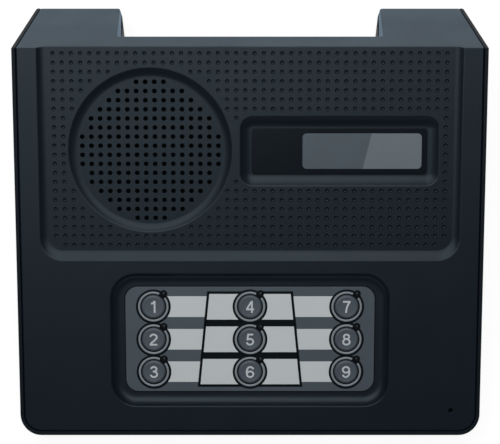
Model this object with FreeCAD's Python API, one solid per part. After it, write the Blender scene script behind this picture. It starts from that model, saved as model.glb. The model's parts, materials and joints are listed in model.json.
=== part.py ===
import FreeCAD, Part
import math
import os
from FreeCAD import Placement, Rotation, Vector

# A desk intercom console: a wedge housing in two shells, with a loudspeaker behind a drilled grille,
# a nine-key panel with lamps and name strips, a microphone, and sockets in a cable bay at the back.
# Millimetres. +X is the user's right, -Y is the user's side, +Z is up.
# The origin is on the desk, under the middle of the console.

# Housing outline and side profile
overall_width = 200.0
face_length = 167.0
face_tilt = 16.2
rear_length = 62.0
rear_tilt = 54.5
front_height = 14.0
foot_stand = 2.0
front_corner_radius = 9.0
rear_corner_radius = 1.0
edge_round = 0.8
ridge_round = 0.6

# Shell walls and the seam between the two shells
cover_wall = 2.2
tray_wall = 2.2
floor_thickness = 2.2
rim_wall = 1.6
rim_gap = 0.4
skirt_depth = 8.0
seam_height = 6.0
seam_gap = 0.4

# Cable bay cut into the rear edge
bay_depth = 26.2
bay_side_margin = 42.5
bay_side_flare = 3.4
bay_root_width = overall_width - 2 * bay_side_margin
bay_mouth_width = bay_root_width + 2 * bay_side_flare
bay_corner_radius = 1.5

# Textured field, open over the ridge
field_margin = 10.4
field_width = overall_width - 2 * field_margin
field_length = 90.0
field_depth = 1.6
field_side_run = 1.1
field_end_run = 4.4
field_corner_radius = 9.5
field_overrun = 12.0

# Loudspeaker dish and grille
dish_inset = 47.2
dish_across = dish_inset - field_width / 2
dish_down = 43.0
dish_radius = 34.75
dish_run = 3.75
dish_depth = 2.2
pan_margin = 3.0
grille_pitch = 3.86
grille_hole_radius = 0.95
grille_row_counts = (4, 8, 10, 12, 14, 14, 16, 16)

# Badge recess, plate and window
badge_inset = 51.6
badge_across = field_width / 2 - badge_inset
badge_down = 43.3
badge_width = 84.4
badge_height = 29.4
badge_corner_radius = 5.4
badge_run = 4.6
badge_depth = 2.0
plate_margin = 0.3
plate_thickness = 1.0
plate_corner_radius = 1.6
window_width = 50.7
window_height = 15.1
window_right_margin = 2.3
window_corner_radius = 1.8
window_thickness = 0.3

# Key panel recess and overlay
panel_down = 124.87
panel_width = 120.2
panel_height = 58.5
panel_corner_radius = 11.0
panel_depth = 3.0
panel_run = 5.2
overlay_side_gap = 1.0
overlay_end_gap = 0.95
overlay_width = panel_width - 2 * (panel_run + overlay_side_gap)
overlay_height = panel_height - 2 * (panel_run + overlay_end_gap)
overlay_down = panel_down
overlay_thickness = 0.5
overlay_corner_radius = 5.4

# Keys, lamps and name strips
key_columns = 3
key_rows = 3
key_side_margin = 12.1
key_end_margin = 8.7
key_pitch_across = (overlay_width - 2 * key_side_margin) / (key_columns - 1)
key_pitch_down = (overlay_height - 2 * key_end_margin) / (key_rows - 1)
key_radius = 5.2
key_proud = 0.9
key_edge = 0.7
key_clearance = 0.3
key_lug_reach = 0.75
key_lug_width = 4.4
key_lug_thickness = 0.8
key_seat_gap = 0.2
key_travel = 0.5
key_ring_radius = 7.55
lamp_across = 4.5
lamp_up = 5.7
lamp_radius = 1.1
lamp_proud = 0.3
lamp_clearance = 0.1
strip_spacing = 5.3
strip_height = key_pitch_down - strip_spacing
strip_thickness = 0.15
frame_key_gap = 23.8
frame_lean = 4.25
frame_margin = 2.0
frame_top_half = key_pitch_across - frame_key_gap
frame_end_half = frame_top_half + frame_lean
frame_height = overlay_height - 2 * frame_margin
frame_line = 1.1
frame_bar = 3.0

# Key switches and their board
switch_size = 6.0
switch_height = 3.5
switch_well = 2.2
plunger_size = 2.6
plunger_gap = 0.3
plunger_bite = 1.2
switch_free_gap = 0.3
board_thickness = 1.6
key_board_side_reach = 13.1
key_board_end_reach = 1.9
key_board_width = overlay_width + 2 * key_board_side_reach
key_board_height = overlay_height + 2 * key_board_end_reach
key_board_post_inset = 4.0
key_board_post_margin = 3.5
key_board_post_across = key_board_width / 2 - key_board_post_inset
key_board_post_up = key_board_height / 2 - key_board_post_margin
lamp_chip_size = 1.6
lamp_chip_height = 0.8
lamp_chip_gap = 0.3

# Flat sides given to small round pieces and their holes, which repeat many times
grille_sides = 5
small_sides = 6
post_sides = 8
round_sides = 16

# Loudspeaker
cloth_thickness = 0.3
gasket_thickness = 1.0
gasket_width = 2.2
speaker_radius = 33.0
speaker_rim_width = 4.2
speaker_rim_thickness = 1.2
speaker_sheet = 1.2
speaker_back_radius = 18.4
speaker_body_depth = 12.5
speaker_window_width = 15.0
speaker_window_edge = 1.5
magnet_radius = 16.0
magnet_height = 8.0
coil_radius = 9.4
coil_hole_clearance = 0.6
cone_sheet = 0.5
cone_edge_gap = 0.1
cone_depth = 9.0
dust_cap_rise = 2.4
dust_cap_lift = 0.3
clamp_circle = 39.0
clamp_count = 4
clamp_length = 11.6
clamp_width = 7.0
clamp_thickness = 1.2

# Microphone
mic_side_inset = 12.7
mic_front_inset = 11.1
mic_across = overall_width / 2 - mic_side_inset
mic_down = face_length - mic_front_inset
mic_hole_radius = 0.95
mic_radius = 3.0
mic_height = 2.7
mic_boot_wall = 1.5
mic_boot_height = 4.2

# Case posts, small posts and screws
case_post_front_margin = 32.0
case_post_front_inset = 13.0
case_post_rear_margin = 16.0
case_post_rear_inset = 50.0
case_post_front_across = overall_width / 2 - case_post_front_margin
case_post_rear_across = overall_width / 2 - case_post_rear_margin
case_post_radius = 3.6
case_post_front_top = 8.8
case_post_rear_top = 26.0
screw_shank_radius = 1.2
screw_head_radius = 2.3
screw_head_height = 1.6
screw_bite = 5.0
screw_grip = 3.0
screw_end_room = 0.6
screw_clearance = 0.1
small_post_radius = 2.8
gusset_thickness = 1.6
gusset_drop = 8.0

# Feet
foot_radius = 6.5
foot_recess = 0.8
foot_clearance = 0.1
foot_side_inset = 18.0
foot_across = overall_width / 2 - foot_side_inset
foot_front_inset = 16.0
foot_rear_inset = 16.0

# Main board, sockets and internal leads
main_board_reach = 1.5
main_board_width = bay_root_width + 2 * main_board_reach
main_board_depth = 78.0
main_board_height = 5.4
board_wall_gap = 0.6
board_post_inset = 5.0
line_jack_width = 15.6
line_jack_height = 13.4
line_jack_depth = 16.0
line_jack_mouth_width = 11.8
line_jack_mouth_height = 7.6
line_jack_mouth_depth = 12.5
line_jack_mouth_lift = 2.6
line_jack_latch_width = 5.9
line_jack_latch_rise = 1.6
line_jack_across = -34.0
line_jack_pitch = 22.0
power_jack_across = 20.0
power_jack_width = 9.0
power_jack_height = 11.0
power_jack_depth = 13.5
power_jack_bore_radius = 3.1
power_jack_pin_radius = 1.0
power_jack_bore_depth = 10.0
socket_gap = 0.25
chip_across = 16.0
chip_in = 40.0
chip_size = 14.0
chip_height = 1.4
driver_chip_across = -20.0
driver_chip_in = 48.0
driver_chip_width = 10.0
driver_chip_depth = 6.0
capacitor_radius = 3.0
capacitor_height = 7.0
capacitor_pitch = 8.0
capacitor_margin = 15.0
capacitor_across = main_board_width / 2 - capacitor_margin - capacitor_pitch
capacitor_in = 24.0
header_width = 24.0
header_depth = 5.0
header_height = 4.0
ribbon_width = 20.0
ribbon_thickness = 0.9
ribbon_bend = 5.0
lead_width = 2.4
lead_thickness = 1.2
lead_bend = 4.0
lead_exit = 3.0
terminal_width = 6.0
terminal_depth = 2.0
terminal_height = 3.0
mic_terminal_drop = 8.75
mic_terminal_across = key_board_post_across
mic_terminal_down = panel_down + mic_terminal_drop
mic_terminal_size = 4.0

# Side profile, worked out from the sizes above
face_angle = math.radians(face_tilt)
rear_angle = math.radians(rear_tilt)
overall_depth = face_length * math.cos(face_angle) + rear_length * math.cos(rear_angle)
front_y = -overall_depth / 2
rear_y = overall_depth / 2
ridge_y = front_y + face_length * math.cos(face_angle)
ridge_z = front_height + face_length * math.sin(face_angle)
tray_base = foot_stand
floor_top = tray_base + floor_thickness
rim_reach = rim_wall + rim_gap
bay_wall_y = rear_y - bay_depth
clear_height = 2 * ridge_z
below_ground = -ridge_z
side_reach = overall_width
over = 5.0

# Levels in the face frame, measured outwards from the face
field_level = -field_depth
dish_level = field_level - dish_depth
badge_level = field_level - badge_depth
panel_level = -panel_depth
overlay_level = panel_level + overlay_thickness
panel_back = panel_level - cover_wall
key_top_level = overlay_level + key_proud
lug_top_level = panel_back - key_seat_gap
key_base_level = lug_top_level - key_lug_thickness
switch_top_level = key_base_level - key_travel - switch_free_gap
board_top_level = switch_top_level - switch_height
board_back_level = board_top_level - board_thickness
dish_floor_radius = dish_radius - dish_run
dish_back = dish_level - cover_wall
gasket_top_level = dish_back - cloth_thickness
rim_top_level = gasket_top_level - gasket_thickness
rim_back_level = rim_top_level - speaker_rim_thickness
speaker_back_level = rim_back_level - speaker_body_depth
mic_back_level = -cover_wall - mic_boot_height

# Levels and places of the main board, in the console's frame
board_level = tray_base + main_board_height + board_thickness
main_board_back = bay_wall_y - tray_wall - board_wall_gap
main_board_front = main_board_back - main_board_depth
ribbon_drop_y = main_board_front + header_depth
pilot_radius = screw_shank_radius + screw_clearance

FACE = Placement(Vector(0, ridge_y, ridge_z), Rotation(Vector(1, 0, 0), face_tilt))
ACROSS = Vector(1, 0, 0)
OUTWARDS = Vector(0, 0, 1)


def save(shape, name):
    shape.exportStep("parts/" + name + ".step")


def on_face(shape):
    """A shape drawn in the face frame (x across, y up the face, z outwards), set on the console."""
    placed = shape.copy()
    placed.Placement = FACE.multiply(placed.Placement)
    return placed


def face_point(across, down, outwards):
    """The console's coordinates of a point given from the middle of the ridge."""
    return FACE.multVec(Vector(across, -down, outwards))


def group(shapes):
    return Part.makeCompound(shapes)


def block(x0, x1, y0, y1, z0, z1):
    return Part.makeBox(x1 - x0, y1 - y0, z1 - z0, Vector(x0, y0, z0))


def centred_block(x, y, width, depth, low, high):
    return block(x - width / 2, x + width / 2, y - depth / 2, y + depth / 2, low, high)


def bar(x, y, radius, sides, low, high):
    """A prism with flat sides, for round pieces and their holes."""
    corners = []
    for index in range(sides + 1):
        turn = 2 * math.pi * (index + 0.5) / sides
        corners.append(Vector(x + radius * math.cos(turn), y + radius * math.sin(turn), low))
    return Part.Face(Part.makePolygon(corners)).extrude(Vector(0, 0, high - low))


def lathe(section, sides, place):
    """A flat-sided solid of revolution, its section given as (radius, level) corners."""
    faces = []
    for index, (radius_a, level_a) in enumerate(section):
        radius_b, level_b = section[(index + 1) % len(section)]
        if radius_a == 0 and radius_b == 0:
            continue
        for step in range(sides):
            now = 2 * math.pi * (step + 0.5) / sides
            then = 2 * math.pi * (step + 1.5) / sides
            corners = [
                Vector(radius_a * math.cos(now), radius_a * math.sin(now), level_a),
                Vector(radius_b * math.cos(now), radius_b * math.sin(now), level_b),
                Vector(radius_b * math.cos(then), radius_b * math.sin(then), level_b),
                Vector(radius_a * math.cos(then), radius_a * math.sin(then), level_a),
            ]
            if radius_a == 0:
                corners = corners[:3]
            if radius_b == 0:
                corners = [corners[0], corners[1], corners[3]]
            faces.append(Part.Face(Part.makePolygon(corners + corners[:1])))
    solid = Part.Solid(Part.Shell(faces))
    if solid.Volume < 0:
        solid.reverse()
    solid.translate(place)
    return solid.removeSplitter()


def corner_points(before, corner, after, radius):
    """Start, middle and end of the arc that rounds one corner."""
    towards_before = (before - corner).normalize()
    towards_after = (after - corner).normalize()
    half_angle = towards_before.getAngle(towards_after) / 2
    reach = radius / math.tan(half_angle)
    inwards = (towards_before + towards_after).normalize()
    middle = corner + inwards * (radius / math.sin(half_angle) - radius)
    return corner + towards_before * reach, middle, corner + towards_after * reach


def rounded_wire(corners, radii, height=0.0):
    """A closed wire through corners in the XY plane, each with its own radius, or none."""
    rise = Vector(0, 0, height)
    arcs = []
    for index, corner in enumerate(corners):
        after = corners[(index + 1) % len(corners)]
        points = corner_points(corners[index - 1], corner, after, radii[index])
        arcs.append([point + rise for point in points])
    edges = []
    for index, (start, middle, end) in enumerate(arcs):
        next_start = arcs[(index + 1) % len(arcs)][0]
        if radii[index] > 0:
            edges.append(Part.Arc(start, middle, end).toShape())
        edges.append(Part.makeLine(end, next_start))
    return Part.Wire(edges)


def rounded_plate(corners, radii, low, high):
    return Part.Face(rounded_wire(corners, radii, low)).extrude(Vector(0, 0, high - low))


def rectangle(across, down, width, height):
    """Corners of a rectangle in the face frame, from its lower left, anticlockwise."""
    left = across - width / 2
    right = across + width / 2
    low = -down - height / 2
    high = -down + height / 2
    return [Vector(left, low, 0), Vector(right, low, 0), Vector(right, high, 0), Vector(left, high, 0)]


def plan_corners(rim, inset):
    """The housing's outline from above, moved in by rim at its sides and front, and by inset all round."""
    lean = (bay_mouth_width - bay_root_width) / 2 / bay_depth
    shift = inset * math.sqrt(1 + lean * lean)
    root = bay_root_width / 2 - inset * lean + shift
    mouth = bay_root_width / 2 + (bay_depth - inset) * lean + shift
    side = overall_width / 2 - rim - inset
    front = front_y + rim + inset
    rear = rear_y - inset
    bay = bay_wall_y - inset
    return [
        Vector(-side, front, 0),
        Vector(side, front, 0),
        Vector(side, rear, 0),
        Vector(mouth, rear, 0),
        Vector(root, bay, 0),
        Vector(-root, bay, 0),
        Vector(-mouth, rear, 0),
        Vector(-side, rear, 0),
    ]


def plan_solid(rim):
    front = front_corner_radius - rim
    radii = [front] * 2 + [rear_corner_radius] + [bay_corner_radius] * 4 + [rear_corner_radius]
    return rounded_plate(plan_corners(rim, 0), radii, below_ground, clear_height)


def plan_room(rim, inset):
    """The room inside the plan's walls, rounded only at the front."""
    radii = [front_corner_radius - rim - inset] * 2 + [0] * 6
    return rounded_plate(plan_corners(rim, inset), radii, below_ground, clear_height)


def under_slopes(depth, rounding):
    """Everything under the face and the rear slope, both moved inwards by depth."""
    front = front_y - over
    rear = rear_y + over
    drop_face = depth / math.cos(face_angle)
    drop_rear = depth / math.cos(rear_angle)
    face_low = front_height - over * math.tan(face_angle) - drop_face
    rear_low = ridge_z - (rear - ridge_y) * math.tan(rear_angle) - drop_rear
    crest_y = ridge_y + (drop_face - drop_rear) / (math.tan(face_angle) + math.tan(rear_angle))
    crest_z = ridge_z - drop_face + (crest_y - ridge_y) * math.tan(face_angle)
    low = Vector(-side_reach, front, below_ground)
    start = Vector(-side_reach, front, face_low)
    crest = Vector(-side_reach, crest_y, crest_z)
    end = Vector(-side_reach, rear, rear_low)
    back = Vector(-side_reach, rear, below_ground)
    arc_start, arc_middle, arc_end = corner_points(start, crest, end, rounding)
    edges = [
        Part.makeLine(low, start),
        Part.makeLine(start, arc_start),
        Part.Arc(arc_start, arc_middle, arc_end).toShape(),
        Part.makeLine(arc_end, end),
        Part.makeLine(end, back),
        Part.makeLine(back, low),
    ]
    return Part.Face(Part.Wire(edges)).extrude(Vector(2 * side_reach, 0, 0))


def under(height):
    return block(-side_reach, side_reach, front_y - over, rear_y + over, below_ground, height)


def field_cutter():
    """The textured field's recess: steep short sides, a long slope at its lower end, open at the ridge."""
    half = field_width / 2
    floor_half = half - field_side_run
    floor_end = field_length - field_end_run
    floor_radius = field_corner_radius - field_side_run
    mouth = [
        Vector(-half, -field_length, 0),
        Vector(half, -field_length, 0),
        Vector(half, field_overrun, 0),
        Vector(-half, field_overrun, 0),
    ]
    bottom = [
        Vector(-floor_half, -floor_end, 0),
        Vector(floor_half, -floor_end, 0),
        Vector(floor_half, field_overrun, 0),
        Vector(-floor_half, field_overrun, 0),
    ]
    mouth_wire = rounded_wire(mouth, [field_corner_radius, field_corner_radius, edge_round, edge_round])
    bottom_radii = [floor_radius, floor_radius, edge_round, edge_round]
    bottom_wire = rounded_wire(bottom, bottom_radii, field_level)
    slopes = Part.makeLoft([bottom_wire, mouth_wire], True, True)
    return slopes.fuse(Part.Face(mouth_wire).extrude(Vector(0, 0, over)))


def dish_cutter():
    low = Vector(dish_across, -dish_down, dish_level)
    slope = Part.makeCone(dish_floor_radius, dish_radius, dish_depth, low)
    room = Part.makeCylinder(dish_radius, over, low + Vector(0, 0, dish_depth))
    return slope.fuse(room)


def sloped_recess(across, down, width, height, corner_radius, run, top, depth):
    """The cutter of a recess whose sides slope in by run: a cone carried round a rectangle."""
    low = top - depth
    floor_radius = corner_radius - run
    half_width = width / 2
    half_height = height / 2
    inner_x = half_width - corner_radius
    inner_y = half_height - corner_radius
    pieces = [rounded_plate(rectangle(across, down, width, height), [corner_radius] * 4, top, top + over)]
    for quarter in range(4):
        cone = Part.makeCone(floor_radius, corner_radius, depth, Vector(0, 0, low), OUTWARDS, 90)
        cone.rotate(Vector(0, 0, 0), OUTWARDS, 90 * quarter)
        x = inner_x if quarter in (0, 3) else -inner_x
        y = inner_y if quarter in (0, 1) else -inner_y
        cone.translate(Vector(across + x, y - down, 0))
        pieces.append(cone)
    lengthwise = [
        Vector(-inner_x, run - half_height, low),
        Vector(-inner_x, half_height - run, low),
        Vector(-inner_x, half_height, top),
        Vector(-inner_x, -half_height, top),
    ]
    crosswise = [
        Vector(run - half_width, -inner_y, low),
        Vector(half_width - run, -inner_y, low),
        Vector(half_width, -inner_y, top),
        Vector(-half_width, -inner_y, top),
    ]
    ridges = ((lengthwise, Vector(2 * inner_x, 0, 0)), (crosswise, Vector(0, 2 * inner_y, 0)))
    for corners, length in ridges:
        ridge = Part.Face(Part.makePolygon(corners + corners[:1])).extrude(length)
        ridge.translate(Vector(across, -down, 0))
        pieces.append(ridge)
    return pieces[0].fuse(pieces[1:]).removeSplitter()


def badge_cutter():
    return sloped_recess(
        badge_across, badge_down, badge_width, badge_height, badge_corner_radius, badge_run, field_level, badge_depth
    )


def panel_cutter():
    return sloped_recess(0, panel_down, panel_width, panel_height, panel_corner_radius, panel_run, 0, panel_depth)


def cover_pans():
    """The extra walls under the face's recesses."""
    thick = cover_wall / 2
    floor_length = field_length - field_end_run + pan_margin
    floor_width = field_width - 2 * field_side_run + 2 * cover_wall
    badge_floor = 2 * (pan_margin - badge_run)
    panel_floor = 2 * (pan_margin - panel_run)
    panel_size = (panel_width + panel_floor, panel_height + panel_floor)
    return [
        centred_block(0, -floor_length / 2, floor_width, floor_length, field_level - cover_wall, -thick),
        bar(dish_across, -dish_down, dish_floor_radius + pan_margin, round_sides, dish_back, field_level - thick),
        centred_block(
            badge_across,
            -badge_down,
            badge_width + badge_floor,
            badge_height + badge_floor,
            badge_level - cover_wall,
            field_level - thick,
        ),
        centred_block(0, -panel_down, panel_size[0], panel_size[1], panel_back, -thick),
    ]


def key_places():
    """Centres of the keys as (across, down), down each column in turn."""
    places = []
    for column in range(key_columns):
        across = (column - (key_columns - 1) / 2) * key_pitch_across
        for row in range(key_rows):
            down = overlay_down + (row - (key_rows - 1) / 2) * key_pitch_down
            places.append((across, down))
    return places


def lamp_places():
    return [(across + lamp_across, down - lamp_up) for across, down in key_places()]


def grille_places():
    """Centres of the grille holes as (across, down), a round field of straight rows."""
    rows = grille_row_counts + grille_row_counts[::-1]
    places = []
    for row, count in enumerate(rows):
        down = dish_down + (row - (len(rows) - 1) / 2) * grille_pitch
        for hole in range(count):
            places.append((dish_across + (hole - (count - 1) / 2) * grille_pitch, down))
    return places


def clamp_turns():
    return [360.0 * (index + 0.5) / clamp_count for index in range(clamp_count)]


def clamp_post_places():
    places = []
    for turn in clamp_turns():
        across = dish_across + clamp_circle * math.cos(math.radians(turn))
        down = dish_down - clamp_circle * math.sin(math.radians(turn))
        places.append((across, down))
    return places


def key_board_post_places():
    places = []
    for across in (-key_board_post_across, key_board_post_across):
        for up in (-key_board_post_up, key_board_post_up):
            places.append((across, overlay_down - up))
    return places


def case_post_places():
    """Plan positions of the four case posts, with the height where the two shells' posts meet."""
    front = front_y + case_post_front_inset
    rear = rear_y - case_post_rear_inset
    places = []
    for side in (-1, 1):
        places.append((side * case_post_front_across, front, case_post_front_top))
        places.append((side * case_post_rear_across, rear, case_post_rear_top))
    return places


def foot_places():
    places = []
    for across in (-foot_across, foot_across):
        places.append((across, front_y + foot_front_inset))
        places.append((across, rear_y - foot_rear_inset))
    return places


def board_post_places():
    back = main_board_back - board_post_inset
    front = main_board_front + board_post_inset
    half = main_board_width / 2 - board_post_inset
    return [(-half, front), (half, front), (-half, back), (half, back)]


def top_cover():
    """The moulded cover: face, rear slope and skirt, with its recesses, grille, key holes and posts."""
    outer = plan_solid(rim_reach).common(under_slopes(0.0, ridge_round))
    inner = plan_room(rim_reach, cover_wall).common(under_slopes(cover_wall, edge_round))
    shell = outer.cut([inner, under_slopes(skirt_depth, edge_round), under(seam_height)])
    pans = [on_face(pan).common(outer) for pan in cover_pans()]
    posts = [post.common(outer) for post in cover_posts()]
    recesses = [field_cutter(), dish_cutter(), badge_cutter(), panel_cutter()]
    solid = shell.fuse(pans + posts).removeSplitter()
    return solid.cut([on_face(recess) for recess in recesses] + cover_holes()).removeSplitter()


def cover_posts():
    """Posts under the face for the case screws, the loudspeaker clamps and the key board."""
    root = -cover_wall / 2
    posts = []
    for across, along, top in case_post_places():
        posts.append(bar(across, along, case_post_radius, post_sides, top + seam_gap, clear_height))
    for across, down in clamp_post_places():
        posts.append(on_face(bar(across, -down, small_post_radius, post_sides, rim_back_level, root)))
    for across, down in key_board_post_places():
        posts.append(on_face(bar(across, -down, small_post_radius, post_sides, board_top_level, root)))
    return posts


def cover_holes():
    """Through holes for keys, lamps, grille and microphone, and pilot holes in the case posts."""
    holes = []
    low = dish_back - over
    key_hole = (key_radius + key_clearance) / math.cos(math.pi / post_sides)
    for across, down in key_places():
        holes.append(on_face(bar(across, -down, key_hole, post_sides, low, over)))
    for across, down in lamp_places():
        holes.append(on_face(bar(across, -down, lamp_radius + lamp_clearance, small_sides, low, over)))
    for across, down in grille_places():
        holes.append(on_face(bar(across, -down, grille_hole_radius, grille_sides, low, over)))
    holes.append(on_face(bar(mic_across, -mic_down, mic_hole_radius, small_sides, low, over)))
    deep = seam_gap + screw_bite + screw_end_room
    for across, along, top in case_post_places():
        holes.append(bar(across, along, pilot_radius, small_sides, top, top + deep))
    return holes


def base_tray():
    """The tray: floor, low walls, the cable bay's wall with its socket holes, the rim and posts."""
    plan = plan_solid(0)
    above_base = block(-side_reach, side_reach, front_y, rear_y, tray_base, clear_height)
    floor = plan.common(under(floor_top)).common(above_base)
    lower_room = under_slopes(skirt_depth + seam_gap, edge_round).fuse(under(seam_height - seam_gap))
    walls = plan.cut(plan_room(0, tray_wall)).common(lower_room).common(above_base)
    tray = floor.fuse([walls, raised_rim(plan).common(above_base)] + tray_posts())
    return tray.cut(socket_holes() + tray_wells()).removeSplitter()


def raised_rim(plan):
    """The wall that rises outside the cover as far as the face, along both sides and the front."""
    band = plan.cut(plan_solid(rim_wall)).common(under_slopes(0.0, ridge_round))
    clear = overall_width / 2 - rim_wall
    return band.cut(block(-clear, clear, bay_wall_y, rear_y + over, below_ground, clear_height))


def tray_posts():
    posts = []
    for across, along, top in case_post_places():
        posts.append(bar(across, along, case_post_radius, post_sides, tray_base, top))
    for across, along in board_post_places():
        posts.append(bar(across, along, small_post_radius, post_sides, tray_base, tray_base + main_board_height))
    for side in (-1, 1):
        inner = side * case_post_rear_across
        outer = side * (overall_width / 2 - tray_wall / 2)
        middle = (inner + outer) / 2
        along = rear_y - case_post_rear_inset
        top = case_post_rear_top - gusset_drop
        posts.append(centred_block(middle, along, abs(outer - inner), gusset_thickness, tray_base, top))
    return posts


def tray_wells():
    """Wells for the case screws and recesses for the feet."""
    wells = []
    for across, along, top in case_post_places():
        head = screw_head_radius + screw_clearance
        wells.append(bar(across, along, pilot_radius, small_sides, below_ground, top + over))
        wells.append(bar(across, along, head, small_sides, below_ground, top - screw_grip))
    for across, along in foot_places():
        foot = foot_radius + foot_clearance
        wells.append(bar(across, along, foot, round_sides, below_ground, tray_base + foot_recess))
    return wells


def line_jack_places():
    return [line_jack_across, line_jack_across + line_jack_pitch]


def socket_sizes():
    """Each socket in the bay's wall, as (across, width, height)."""
    sockets = [(across, line_jack_width, line_jack_height) for across in line_jack_places()]
    sockets.append((power_jack_across, power_jack_width, power_jack_height))
    return sockets


def socket_holes():
    holes = []
    low = board_level - socket_gap
    for across, width, height in socket_sizes():
        wide = width + 2 * socket_gap
        top = board_level + height + socket_gap
        holes.append(centred_block(across, bay_wall_y, wide, 2 * over, low, top))
    return holes


def line_jack(across):
    """A telephone-style socket with a stepped mouth for the plug and its latch."""
    half_depth = line_jack_depth / 2
    top = board_level + line_jack_height
    body = centred_block(across, bay_wall_y - half_depth, line_jack_width, line_jack_depth, board_level, top)
    mouth_low = board_level + line_jack_mouth_lift
    mouth_top = mouth_low + line_jack_mouth_height
    deep = 2 * line_jack_mouth_depth
    mouth = centred_block(across, bay_wall_y, line_jack_mouth_width, deep, mouth_low, mouth_top)
    latch_top = mouth_top + line_jack_latch_rise
    latch = centred_block(across, bay_wall_y, line_jack_latch_width, deep, mouth_low, latch_top)
    return body.cut([mouth, latch]).removeSplitter()


def power_jack():
    """A barrel socket with its centre pin."""
    half_depth = power_jack_depth / 2
    top = board_level + power_jack_height
    along = bay_wall_y - half_depth
    body = centred_block(power_jack_across, along, power_jack_width, power_jack_depth, board_level, top)
    bore = bar(0, 0, power_jack_bore_radius, post_sides, 0, power_jack_bore_depth)
    pin = bar(0, 0, power_jack_pin_radius, small_sides, 0, power_jack_bore_depth)
    for piece in (bore, pin):
        piece.rotate(Vector(0, 0, 0), ACROSS, 90)
        piece.translate(Vector(power_jack_across, bay_wall_y, board_level + power_jack_height / 2))
    return body.cut(bore.cut(pin)).removeSplitter()


def badge_plate():
    width = badge_width - 2 * badge_run - 2 * plate_margin
    height = badge_height - 2 * badge_run - 2 * plate_margin
    corners = rectangle(badge_across, badge_down, width, height)
    plate = rounded_plate(corners, [plate_corner_radius] * 4, badge_level, badge_level + plate_thickness)
    return on_face(plate)


def badge_window():
    right = badge_across + badge_width / 2 - badge_run - plate_margin - window_right_margin
    corners = rectangle(right - window_width / 2, badge_down, window_width, window_height)
    low = badge_level + plate_thickness
    return on_face(rounded_plate(corners, [window_corner_radius] * 4, low, low + window_thickness))


def key_overlay():
    """The printed film in the panel, with holes for the keys and the lamps."""
    corners = rectangle(0, overlay_down, overlay_width, overlay_height)
    film = rounded_plate(corners, [overlay_corner_radius] * 4, panel_level, overlay_level)
    low = panel_level - over
    holes = []
    for across, down in key_places():
        holes.append(bar(across, -down, key_radius + key_clearance, round_sides, low, over))
    for across, down in lamp_places():
        holes.append(bar(across, -down, lamp_radius + lamp_clearance, small_sides, low, over))
    return on_face(film.cut(holes))


def frame_half(down):
    """Half the width of the tapered middle frame, at a distance down the face."""
    share = (down - overlay_down + frame_height / 2) / frame_height
    return frame_top_half + (frame_end_half - frame_top_half) * share


def strip_plate(top_left, top_right, end_left, end_right, top, end):
    corners = [
        Vector(top_left, -top, overlay_level),
        Vector(end_left, -end, overlay_level),
        Vector(end_right, -end, overlay_level),
        Vector(top_right, -top, overlay_level),
    ]
    return Part.Face(Part.makePolygon(corners + corners[:1])).extrude(Vector(0, 0, strip_thickness))


def middle_strip(down):
    """A name strip in the middle frame, on both sides of its key."""
    top = down - (key_pitch_down - frame_bar) / 2
    end = down + (key_pitch_down - frame_bar) / 2
    top_half = frame_half(top) - frame_line / 2
    end_half = frame_half(end) - frame_line / 2
    return strip_plate(-top_half, top_half, -end_half, end_half, top, end)


def side_strip(across, down):
    """A name strip between an outer key and the middle frame."""
    side = math.copysign(1, across)
    top = down - strip_height / 2
    end = down + strip_height / 2
    near_top = side * (frame_half(top) + frame_line / 2)
    near_end = side * (frame_half(end) + frame_line / 2)
    far = side * (abs(across) - key_ring_radius)
    return strip_plate(near_top, far, near_end, far, top, end)


def name_labels():
    """White name strips, cut round the key rings."""
    labels = []
    for (across, down), (lamp_x, lamp_down) in zip(key_places(), lamp_places()):
        ring = bar(across, -down, key_ring_radius, round_sides, panel_level, over)
        lamp = bar(lamp_x, -lamp_down, lamp_radius + lamp_clearance, small_sides, panel_level, over)
        strip = middle_strip(down) if across == 0 else side_strip(across, down)
        labels.append(on_face(strip.cut([ring, lamp])))
    return group(labels)


def key_cap(across, down):
    """A round cap with a bevelled rim and two lugs that stop it under the panel."""
    section = [
        (0, key_top_level),
        (key_radius - key_edge, key_top_level),
        (key_radius, key_top_level - key_edge / 2),
        (key_radius, key_base_level),
        (0, key_base_level),
    ]
    cap = lathe(section, round_sides, Vector(across, -down, 0))
    width = 2 * (key_radius + key_lug_reach)
    lugs = centred_block(across, -down, width, key_lug_width, key_base_level, lug_top_level)
    return on_face(cap.fuse(lugs).removeSplitter())


def switch_plunger(across, down):
    low = switch_top_level - plunger_bite
    return on_face(centred_block(across, -down, plunger_size, plunger_size, low, key_base_level))


def switch_bodies():
    bodies = []
    well = plunger_size + 2 * plunger_gap
    for across, down in key_places():
        body = centred_block(across, -down, switch_size, switch_size, board_top_level, switch_top_level)
        room = centred_block(across, -down, well, well, switch_top_level - switch_well, over)
        bodies.append(on_face(body.cut(room)))
    return group(bodies)


def led_lenses():
    """Clear lamp rods, from just over each lamp to a proud tip."""
    low = board_top_level + lamp_chip_height + lamp_chip_gap
    high = overlay_level + lamp_proud
    return group([on_face(bar(x, -down, lamp_radius, small_sides, low, high)) for x, down in lamp_places()])


def led_chips():
    chips = []
    top = board_top_level + lamp_chip_height
    for across, down in lamp_places():
        chips.append(on_face(centred_block(across, -down, lamp_chip_size, lamp_chip_size, board_top_level, top)))
    return group(chips)


def key_board():
    board = centred_block(0, -overlay_down, key_board_width, key_board_height, board_back_level, board_top_level)
    return on_face(board)


def at_dish():
    return Vector(dish_across, -dish_down, 0)


def grille_cloth():
    return on_face(bar(dish_across, -dish_down, dish_floor_radius, round_sides, gasket_top_level, dish_back))


def speaker_gasket():
    outer = dish_floor_radius
    inner = outer - gasket_width
    section = [(inner, rim_top_level), (outer, rim_top_level), (outer, gasket_top_level), (inner, gasket_top_level)]
    return on_face(lathe(section, round_sides, at_dish()))


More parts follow.
